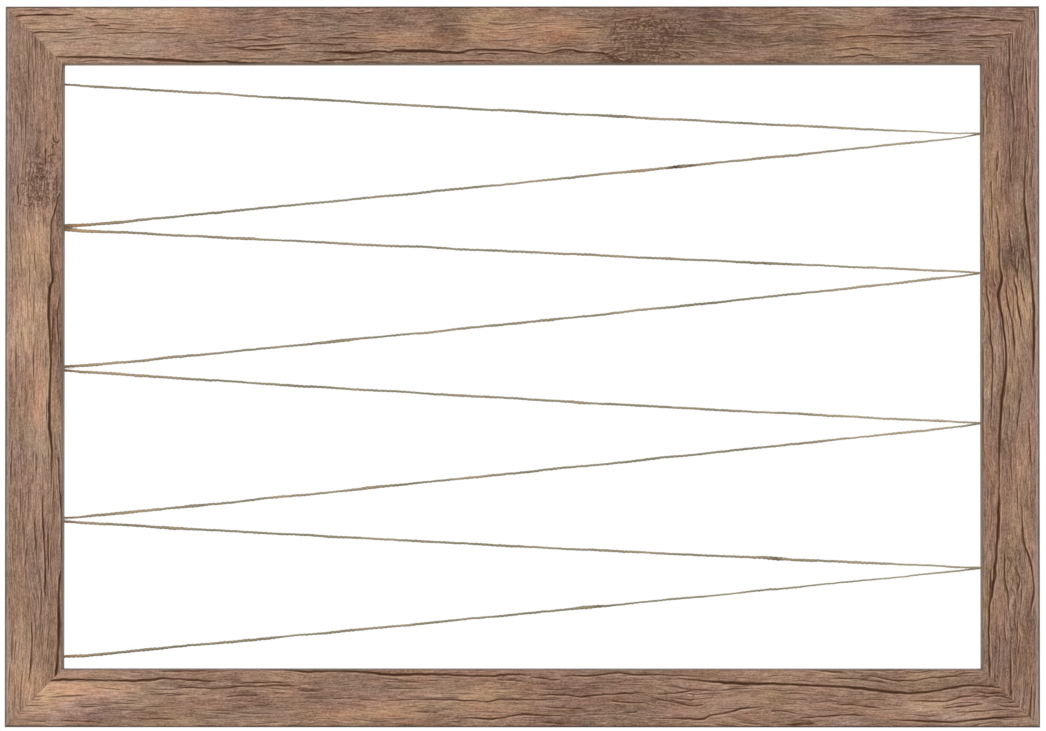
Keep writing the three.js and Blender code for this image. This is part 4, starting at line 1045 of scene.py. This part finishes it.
def add_rail(name, node, length, seed, to_frame, material):
    """to_frame turns metres along and metres in into the frame's X and Z"""
    rows = moulding_section()
    first = rows[0] + MITRE_JOINT + np.array(MITRE_OFFSETS)[:, None]
    gap = length - 2 * first[-1]
    between = first[-1] + stations(name, length)[:, None] * gap
    along = np.concatenate([first[:-1], between, length - first[:-1][::-1]])
    shape = along.shape
    inward, depths, section, foil = (np.broadcast_to(row, shape).ravel() for row in rows)
    along = along.ravel()
    fields = print_fields(name, seed, along, inward, section)
    from_mitre = np.minimum(along, length - along) - inward
    front = ease(depths, FRONT_SKIN, 0) * (inward > 0)
    fallen = MITRE_SOFTNESS * (1 - ease(from_mitre, 0, MITRE_OFFSETS[-1]))
    carved = CRACK_DEPTH * ease(fields["crack"], -0.3, 0.5) * (1 - 0.7 * fields["checked"])
    x, z = to_frame(along * MM, inward * MM)
    points = np.stack([x, FRONT_Y + (depths + front * (fallen + carved)) * MM, z], -1)
    fields.update(section=section, foil_reach=foil)
    return piece(name + "_moulding", points, ring_faces(*shape), material, slot="barn_wood_foil",
                 stands_for=[node], fields=fields)


def add_rails():
    material = wood_material()
    width, height = 2 * HALF_WIDTH / MM, 2 * HALF_HEIGHT / MM
    add_rail("top", "top_rail", width, 1, lambda a, i: (a - HALF_WIDTH, HALF_HEIGHT - i), material)
    add_rail("bottom", "bottom_rail", width, 2, lambda a, i: (a - HALF_WIDTH, i - HALF_HEIGHT), material)
    add_rail("left", "left_stile", height, 3, lambda a, i: (i - HALF_WIDTH, HALF_HEIGHT - a), material)
    add_rail("right", "right_stile", height, 4, lambda a, i: (HALF_WIDTH - i, HALF_HEIGHT - a), material)


# Hardware: bent wire and sheet, swept by one function, and turned pieces

STAPLE_THICKNESS = 0.5 * MM
STAPLE_BEND = 0.75 * MM
STAPLE_POINT = 1.4 * MM
STAPLE_POINT_SHARE = 0.35
SHEET_EDGE = 0.12 * MM
STRIP_THICKNESS = 0.5 * MM
RING_WIRE = 1.8 * MM
RING_CLEARANCE = 0.3 * MM
RING_REACH = 11 * MM
RING_BEND = 1.5 * MM
RING_SIDE_CLEARANCE = 0.4 * MM
KNUCKLE_RADIUS = RING_WIRE / 2 + RING_CLEARANCE + STRIP_THICKNESS
FOLD_FILLET = 0.7 * MM
SCREW_HEAD_HEIGHT = 2 * MM
SCREW_RIM_HEIGHT = 0.6 * MM
SCREW_EDGE = 0.15 * MM
SCREW_SHANK_RADIUS = 1.5 * MM
SCREW_THREAD_DEPTH = 0.35 * MM
SCREW_THREAD_PITCH = 1.25 * MM
SCREW_POINT = 3 * MM
SCREW_TIP_SHARE = 0.08
RECESS_SPAN = 3.2 * MM
RECESS_WIDTH = 0.75 * MM
RECESS_DEPTH = 1.0 * MM
RECESS_SIDE_SLOPE = 0.08 * MM
RECESS_END_SLOPE = 0.6 * MM
BUMPER_FACE_SHARE = 0.76
BUMPER_WALL_SHARE = 0.35
BUMPER_ROUNDING = 0.45 * MM
BUMPER_EDGE = 0.2 * MM


def oval(width, thickness, radius, steps=3):
    """A rounded rectangle, or a circle when the radius is half of both sides"""
    points = []
    for quarter, (way_x, way_y) in enumerate(((1, 1), (-1, 1), (-1, -1), (1, -1))):
        start = quarter * math.pi / 2
        corner = (way_x * (width / 2 - radius), way_y * (thickness / 2 - radius))
        points += arc(*corner, radius, start, start + math.pi / 2, steps)
    return np.array(points)


def swept(name, line, across, section, material, widths=None, closed=False, **rest):
    """A section carried along a line in one plane, square to across. widths scale the section's own x"""
    line = np.asarray(line, float)
    across = np.array(across, float)
    ahead = np.roll(line, -1, 0) - np.roll(line, 1, 0) if closed else np.gradient(line, axis=0)
    side = np.cross(ahead, across)
    side /= np.linalg.norm(side, axis=1)[:, None]
    widths = np.ones(len(line)) if widths is None else np.asarray(widths)
    points = (line[:, None] + (section[:, 0] * widths[:, None])[..., None] * across
              + section[:, 1][None, :, None] * side[:, None])
    faces = ring_faces(len(line), len(section), closed=closed)
    return piece(name, points.reshape(-1, 3), faces, material, **rest)


def turned(profile, centre, sides, height=None):
    """Points and faces of a profile of radius and height, turned about Y. height gives new heights"""
    angle = TURN * np.arange(sides) / sides
    radius, rise = np.array(profile).T
    x = radius[:, None] * np.cos(angle)
    z = radius[:, None] * np.sin(angle)
    y = np.broadcast_to(rise[:, None], x.shape)
    if height is not None:
        y = height(x, y, z)
    points = np.stack([x, y, z], -1).reshape(-1, 3) + np.array(centre)
    return points, ring_faces(len(radius), sides)


def metal(name, colour, dull_colour, roughness, grain):
    """Plated steel: cloudy plating with a rougher, duller haze and fine drawing lines"""
    shader = Shader(name)
    place = shader.object_place()
    clouds = shader.noise(place, (2.4, 2.4, 2.4), 3, 0.6, 1.0)
    fine = shader.noise(place, grain, 2, 0.5, 3.0)
    haze = shader.fade(shader.total(clouds, shader.math("MULTIPLY_ADD", fine, 0.3, -0.15)), 0.36, 0.72)
    colour = shader.mix(haze, linear(*colour), linear(*dull_colour))
    rough = shader.math("MULTIPLY_ADD", haze, 0.22, roughness)
    return shader.set(Base_Color=colour, Metallic=1.0, Roughness=rough, Normal=shader.bump(fine, 0.02 * MM))


def rubber_material():
    """Matte black rubber, slightly mottled with dust"""
    shader = Shader("rubber")
    place = shader.object_place()
    dust = shader.fade(shader.noise(place, (0.7, 0.7, 0.7), 3, 0.65), 0.45, 0.85)
    pores = shader.noise(place, (0.25, 0.25, 0.25), 2, 0.6)
    colour = shader.mix(dust, linear(48, 48, 50), linear(70, 69, 68))
    rough = shader.math("MULTIPLY_ADD", dust, 0.15, 0.72)
    return shader.set(Base_Color=colour, Roughness=rough, Specular_IOR_Level=0.35,
                      Normal=shader.bump(pores, 0.05 * MM))


def add_staple(node, material):
    """A flat-wire staple with bent shoulders and chisel points"""
    low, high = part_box(node)
    x = (low.x + high.x) / 2
    z = (low.z + high.z) / 2
    width = high.x - low.x
    top, half = high.y - STAPLE_THICKNESS / 2, (high.z - low.z) / 2 - STAPLE_THICKNESS / 2
    bend = STAPLE_BEND - STAPLE_THICKNESS / 2
    tip = low.y + STAPLE_POINT
    outline = [(-half, low.y), (-half, tip), *arc(bend - half, top - bend, bend, math.pi, math.pi / 2, 6),
               *arc(half - bend, top - bend, bend, math.pi / 2, 0, 6), (half, tip), (half, low.y)]
    line = [(x, y, z + across) for across, y in outline]
    widths = [STAPLE_POINT_SHARE] + [1] * (len(line) - 2) + [STAPLE_POINT_SHARE]
    swept(node + "_wire", line, (1, 0, 0), oval(width, STAPLE_THICKNESS, SHEET_EDGE), material, widths,
          slot="staple_steel", stands_for=[node])


def add_strip(node, hinge, width, material):
    """A strip folded round the bar of the ring, its two leaves lying flat on the stile"""
    low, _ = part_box(node)
    radius = KNUCKLE_RADIUS - STRIP_THICKNESS / 2
    under, over = -radius, STRIP_THICKNESS - radius
    reach = radius + FOLD_FILLET
    rise = over + FOLD_FILLET
    fillet_z = -math.sqrt(reach ** 2 - rise ** 2)
    lean = math.asin(-rise / reach)
    round_z = low.z - hinge.z + width / 2
    end = [(round_z - width / 2 * math.sin(a), math.cos(a)) for a in np.linspace(math.pi / 2 - 0.08, 0, 10)]
    outline = [(z, under, share) for z, share in end]
    outline += [(z, y, 1) for z, y in arc(0, 0, radius, -math.pi / 2, math.pi + lean, 28)]
    outline += [(z, y, 1) for z, y in arc(fillet_z, rise, FOLD_FILLET, lean, -math.pi / 2, 8)]
    outline += [(z, over, share) for z, share in reversed(end)]
    line = [(hinge.x, hinge.y + y, hinge.z + z) for z, y, _ in outline]
    swept(node.replace("strip", "folded_strip"), line, (1, 0, 0), oval(width, STRIP_THICKNESS, SHEET_EDGE),
          material, [share for *_, share in outline], slot="zinc_plated_steel", stands_for=[node])


def add_ring(node, hinge, strip_width, body, material):
    """A D ring of round wire, leaning on the strip at rest"""
    half = strip_width / 2 + RING_SIDE_CLEARANCE + RING_WIRE / 2
    strip_top = 2 * STRIP_THICKNESS - KNUCKLE_RADIUS
    lean = math.asin((strip_top + SEAT_GAP + RING_WIRE / 2) / RING_REACH)
    bend_x = half - RING_BEND
    bar = [(x, 0) for x in np.linspace(-bend_x, bend_x, 8)[1:-1]]
    plane = [*bar, *arc(bend_x, -RING_BEND, RING_BEND, math.pi / 2, 0, 8),
             *arc(0, half - RING_REACH, half, 0, -math.pi, 32),
             *arc(-bend_x, -RING_BEND, RING_BEND, math.pi, math.pi / 2, 8)]
    line = [(hinge.x + x, hinge.y - z * math.sin(lean), hinge.z + z * math.cos(lean)) for x, z in plane]
    normal = (0, math.cos(lean), math.sin(lean))
    swept(node + "_wire", line, normal, oval(RING_WIRE, RING_WIRE, RING_WIRE / 2, 4), material,
          closed=True, body=body, slot="zinc_plated_steel", stands_for=[node])


def recess(x, y, z):
    """The driver's cross, sunk into the head and deepest in the middle"""
    longer, shorter = np.maximum(abs(x), abs(z)), np.minimum(abs(x), abs(z))
    inside = ease(shorter, RECESS_WIDTH / 2 + RECESS_SIDE_SLOPE, RECESS_WIDTH / 2 - RECESS_SIDE_SLOPE)
    deep = RECESS_DEPTH * ease(longer, RECESS_SPAN / 2, RECESS_SPAN / 2 - RECESS_END_SLOPE)
    return y - inside * deep * (y > 0)


def add_screw(node, material):
    """A pan-head wood screw with a cross recess and a rolled thread"""
    low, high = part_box(node)
    radius = (high.x - low.x) / 2
    seat = high.y - SCREW_HEAD_HEIGHT
    length = seat - low.y
    thread = []
    for depth in np.arange(length - 0.2 * MM, 0, -SCREW_THREAD_PITCH / 6):
        body = min(1, (length - depth) / SCREW_POINT + SCREW_TIP_SHARE)
        crest = 0.5 + 0.5 * math.cos(TURN * depth / SCREW_THREAD_PITCH)
        thread.append((body * (SCREW_SHANK_RADIUS - SCREW_THREAD_DEPTH * (1 - crest)), -depth))
    head = [(SCREW_SHANK_RADIUS, 0), (radius - SCREW_EDGE, 0), (radius, SCREW_EDGE),
            (radius, SCREW_RIM_HEIGHT)]
    crown = SCREW_HEAD_HEIGHT - SCREW_RIM_HEIGHT
    dome = [(radius * math.cos(a), SCREW_RIM_HEIGHT + crown * math.sin(a) ** 0.75)
            for a in np.linspace(0.12, 0.95, 7)]
    flat = [(dome[-1][0] * share, SCREW_HEAD_HEIGHT - (SCREW_HEAD_HEIGHT - dome[-1][1]) * share ** 2)
            for share in np.linspace(0.94, 0.02, 22)]
    points, faces = turned(thread + head + dome + flat, (low.x + radius, seat, low.z + radius), 72, recess)
    piece(node.replace("screw", "pan_head_screw"), points, faces, material, slot="zinc_plated_steel",
          stands_for=[node], sharp=40)


def add_bumper(node, material):
    """A turned rubber foot with a rounded rim"""
    low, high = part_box(node)
    radius, height = (high.x - low.x) / 2, high.y - low.y
    face = radius * BUMPER_FACE_SHARE
    wall = height * BUMPER_WALL_SHARE
    rim = arc(face - BUMPER_ROUNDING, height - BUMPER_ROUNDING, BUMPER_ROUNDING, 0.35, math.pi / 2, 5)
    shoulder = arc(radius - BUMPER_ROUNDING, wall - BUMPER_ROUNDING / 2, BUMPER_ROUNDING, 0, 0.9, 4)
    profile = [(BUMPER_EDGE, 0), (radius - BUMPER_EDGE, 0), (radius, BUMPER_EDGE), *shoulder, *rim,
               (face * 0.5, height), (BUMPER_EDGE, height)]
    points, faces = turned(profile, (low.x + radius, low.y, low.z + radius), 48)
    piece(node + "_foot", points, faces, material, slot="bumper_rubber", stands_for=[node])


def add_hardware():
    staple_steel = metal("staple_steel", (200, 196, 186), (160, 152, 138), 0.28, (0.12, 0.12, 4))
    nail_steel = metal("v_nail_steel", (150, 148, 146), (104, 98, 92), 0.38, (0.3, 3, 0.3))
    zinc = metal("zinc", (208, 211, 214), (178, 181, 186), 0.2, (0.15, 0.15, 3))
    rubber = rubber_material()
    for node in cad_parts:
        if node.startswith("staple"):
            add_staple(node, staple_steel)
        elif node.startswith("v_nail"):
            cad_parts[node].data.materials.clear()
            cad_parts[node].data.materials.append(nail_steel)
    for side in ("left", "right"):
        strip = side + "_hanger_strip"
        low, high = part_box(strip)
        hinge = Vector(((low.x + high.x) / 2, low.y + KNUCKLE_RADIUS, high.z - KNUCKLE_RADIUS))
        add_strip(strip, hinge, high.x - low.x, zinc)
        add_ring(side + "_hanger_ring", hinge, high.x - low.x, side + "_ring", zinc)
        add_screw(side + "_hanger_screw", zinc)
        add_bumper(side + "_bumper", rubber)


# Stage: white all round to the camera, softer from below to the object, and a pale floor far under the frame

FLOOR_DROP = 1.5
FLOOR_HALF_SIZE = 9
# How strong the world's light is from below and from above
WORLD_LOW = 0.62
WORLD_HIGH = 0.92
# Lamps: place, power and size
LAMPS = {"key": ((-1.6, -2.6, 1.9), 26, 1.6), "back": ((1.8, 2.6, 1.6), 30, 1.4)}


def add_world():
    """Light from all round, weaker from below. The camera sees plain white"""
    world = bpy.data.worlds.new("studio")
    bpy.context.scene.world = world
    nodes = Nodes(world)
    place = nodes.add("ShaderNodeTexCoord").outputs["Generated"]
    rise = nodes.add("ShaderNodeSeparateXYZ", {0: place}).outputs["Z"]
    strength = nodes.add("ShaderNodeMapRange", {"Value": rise, "From Min": -1, "To Min": WORLD_LOW,
                                                "To Max": WORLD_HIGH})
    white = (1, 1, 1, 1)
    lit = nodes.add("ShaderNodeBackground", {"Color": white, "Strength": strength.outputs[0]})
    seen = nodes.add("ShaderNodeBackground", {"Color": white, "Strength": 1.0})
    ray = nodes.add("ShaderNodeLightPath").outputs["Is Camera Ray"]
    either = nodes.add("ShaderNodeMixShader", {0: ray, 1: lit.outputs[0], 2: seen.outputs[0]})
    nodes.add("ShaderNodeOutputWorld", {"Surface": either.outputs[0]})


def add_stage():
    add_world()
    for name, (place, power, size) in LAMPS.items():
        data = bpy.data.lights.new(name, "AREA")
        data.energy = power
        data.size = size
        lamp = new_object(name, data)
        lamp.location = place
        lamp.rotation_euler = (-Vector(place)).to_track_quat("-Z", "Y").to_euler()
    shader = Shader("floor")
    speckle = shader.noise(shader.object_place(), (160, 160, 160), 3, 0.5)
    shader.set(Base_Color=shader.ramp(speckle, (0.3, 231, 230, 227), (0.7, 236, 235, 232)), Roughness=0.7)
    mesh = bpy.data.meshes.new("floor")
    half = FLOOR_HALF_SIZE
    corners = [(-half, -half, 0), (half, -half, 0), (half, half, 0), (-half, half, 0)]
    mesh.from_pydata(corners, [], [(0, 1, 2, 3)])
    mesh.materials.append(shader.material)
    floor = new_object("floor", mesh)
    floor.location.z = -FLOOR_DROP
    bpy.context.scene.view_settings.view_transform = "Standard"


add_camera()
add_twine()
add_rails()
add_hardware()
add_stage()

bpy.context.view_layer.update()
